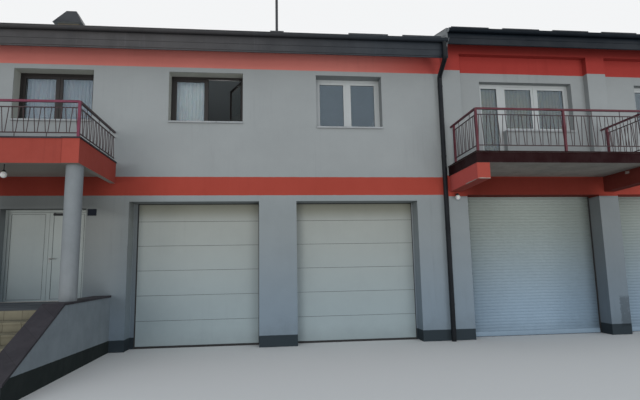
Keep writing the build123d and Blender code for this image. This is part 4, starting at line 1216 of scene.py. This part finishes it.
class FIRE_OT_stage(PieceOperator):
    """Sets the camera, the even light, the soft sun and the pale floor"""

    bl_idname = "fire.stage"
    bl_label = "Stage"

    backdrop = (0.9, 0.91, 0.92)

    def make(self):
        stage = bpy.context.scene.fire_stage
        bpy.context.scene.view_settings.view_transform = "Standard"
        self.camera(stage)
        self.world(stage.sky)
        wide_light("soft_sun", stage.sun, (-0.38, -1.0, 0.02), 26, color=(1.0, 0.97, 0.93))
        wide_light("ground_glow", stage.glow, (0.4, -1.0, -0.35), 30)
        for x in (-4.6, 5.9):
            place = Matrix.Translation((x, -1.0, 5.0))
            lamp("room_light", "POINT", stage.room, place, shadow_soft_size=0.5)
        self.floor()

    def camera(self, stage):
        level = math.cos(stage.tilt)
        forward = Vector((math.sin(stage.turn) * level, math.cos(stage.turn) * level, math.sin(stage.tilt)))
        right = Vector((math.cos(stage.turn), -math.sin(stage.turn), 0))
        up = right.cross(forward)
        rolled = math.cos(stage.roll) * right + math.sin(stage.roll) * up
        upright = math.cos(stage.roll) * up - math.sin(stage.roll) * right
        turn = Matrix((rolled, upright, -forward)).transposed().to_4x4()
        camera = bpy.data.objects.new("camera", bpy.data.cameras.new("camera"))
        camera.matrix_world = Matrix.Translation(stage.eye) @ turn
        camera.data.lens = stage.lens
        camera.data.sensor_width = 36
        camera.data.clip_end = 500
        bpy.context.scene.collection.objects.link(camera)
        bpy.context.scene.camera = camera

    def world(self, sky):
        world = bpy.data.worlds.new("even_light")
        bpy.context.scene.world = world
        world.use_nodes = True
        made = Nodes(world.node_tree)
        path = made.outputs("LightPath")
        seen = made.most(path["Is Camera Ray"], path["Is Transmission Ray"], path["Is Glossy Ray"])
        background = world.node_tree.nodes["Background"].inputs
        made.plug(background["Color"], made.mix(seen, (0.86, 0.93, 1.0), self.backdrop))
        made.plug(background["Strength"], made.between(seen, sky, 1.0))

    def floor(self):
        bm = bmesh.new()
        bmesh.ops.create_circle(bm, cap_ends=True, segments=96, radius=140.0)
        mesh = bpy.data.meshes.new("floor")
        bm.to_mesh(mesh)
        bm.free()
        floor = bpy.data.objects.new("floor", mesh)
        bpy.context.scene.collection.objects.link(floor)
        ground = Finish("floor_paint", Roughness=0.9)
        far = ground.rise(ground.vector("LENGTH", ground.place, output="Value"), 20.0, 110.0)
        shown = ground.mix(far, (0.72, 0.72, 0.71), self.backdrop)
        seen = ground.outputs("LightPath")["Is Camera Ray"]
        ground.set("Base Color", ground.mix(seen, (0.34, 0.34, 0.33), shown))
        mesh.materials.append(ground.material)
        floor.visible_shadow = False


class FIRE_PT_parts(Panel):
    """Lists the groups of parts"""

    bl_label = "Fire station"
    bl_idname = "FIRE_PT_parts"
    bl_space_type = "VIEW_3D"
    bl_region_type = "UI"
    bl_category = "Fire Station"

    def draw(self, context):
        for name in SETTINGS:
            group = getattr(context.scene, name)
            box = self.layout.box()
            for key in group.__annotations__:
                box.prop(group, key)
        for operator in OPERATORS:
            self.layout.operator(operator.bl_idname)


OPERATORS = (
    FIRE_OT_stage, FIRE_OT_finishes, FIRE_OT_garage_doors, FIRE_OT_shutters, FIRE_OT_window_trim,
    FIRE_OT_curtains, FIRE_OT_roof_sheets, FIRE_OT_eaves, FIRE_OT_balcony_trim, FIRE_OT_entrance_trim,
    FIRE_OT_lamps, FIRE_OT_plate_rim,
)
SETTINGS = {"fire_finish": FinishSettings, "fire_trim": TrimSettings, "fire_stage": StageSettings}


def register():
    for name, group in SETTINGS.items():
        bpy.utils.register_class(group)
        setattr(bpy.types.Scene, name, PointerProperty(type=group))
    for operator in OPERATORS:
        bpy.utils.register_class(operator)
    bpy.utils.register_class(FIRE_PT_parts)


def unregister():
    bpy.utils.unregister_class(FIRE_PT_parts)
    for operator in reversed(OPERATORS):
        bpy.utils.unregister_class(operator)
    for name, group in SETTINGS.items():
        delattr(bpy.types.Scene, name)
        bpy.utils.unregister_class(group)


def main():
    register()
    for operator in OPERATORS:
        family, action = operator.bl_idname.split(".")
        getattr(getattr(bpy.ops, family), action)()


if __name__ == "__main__":
    main()
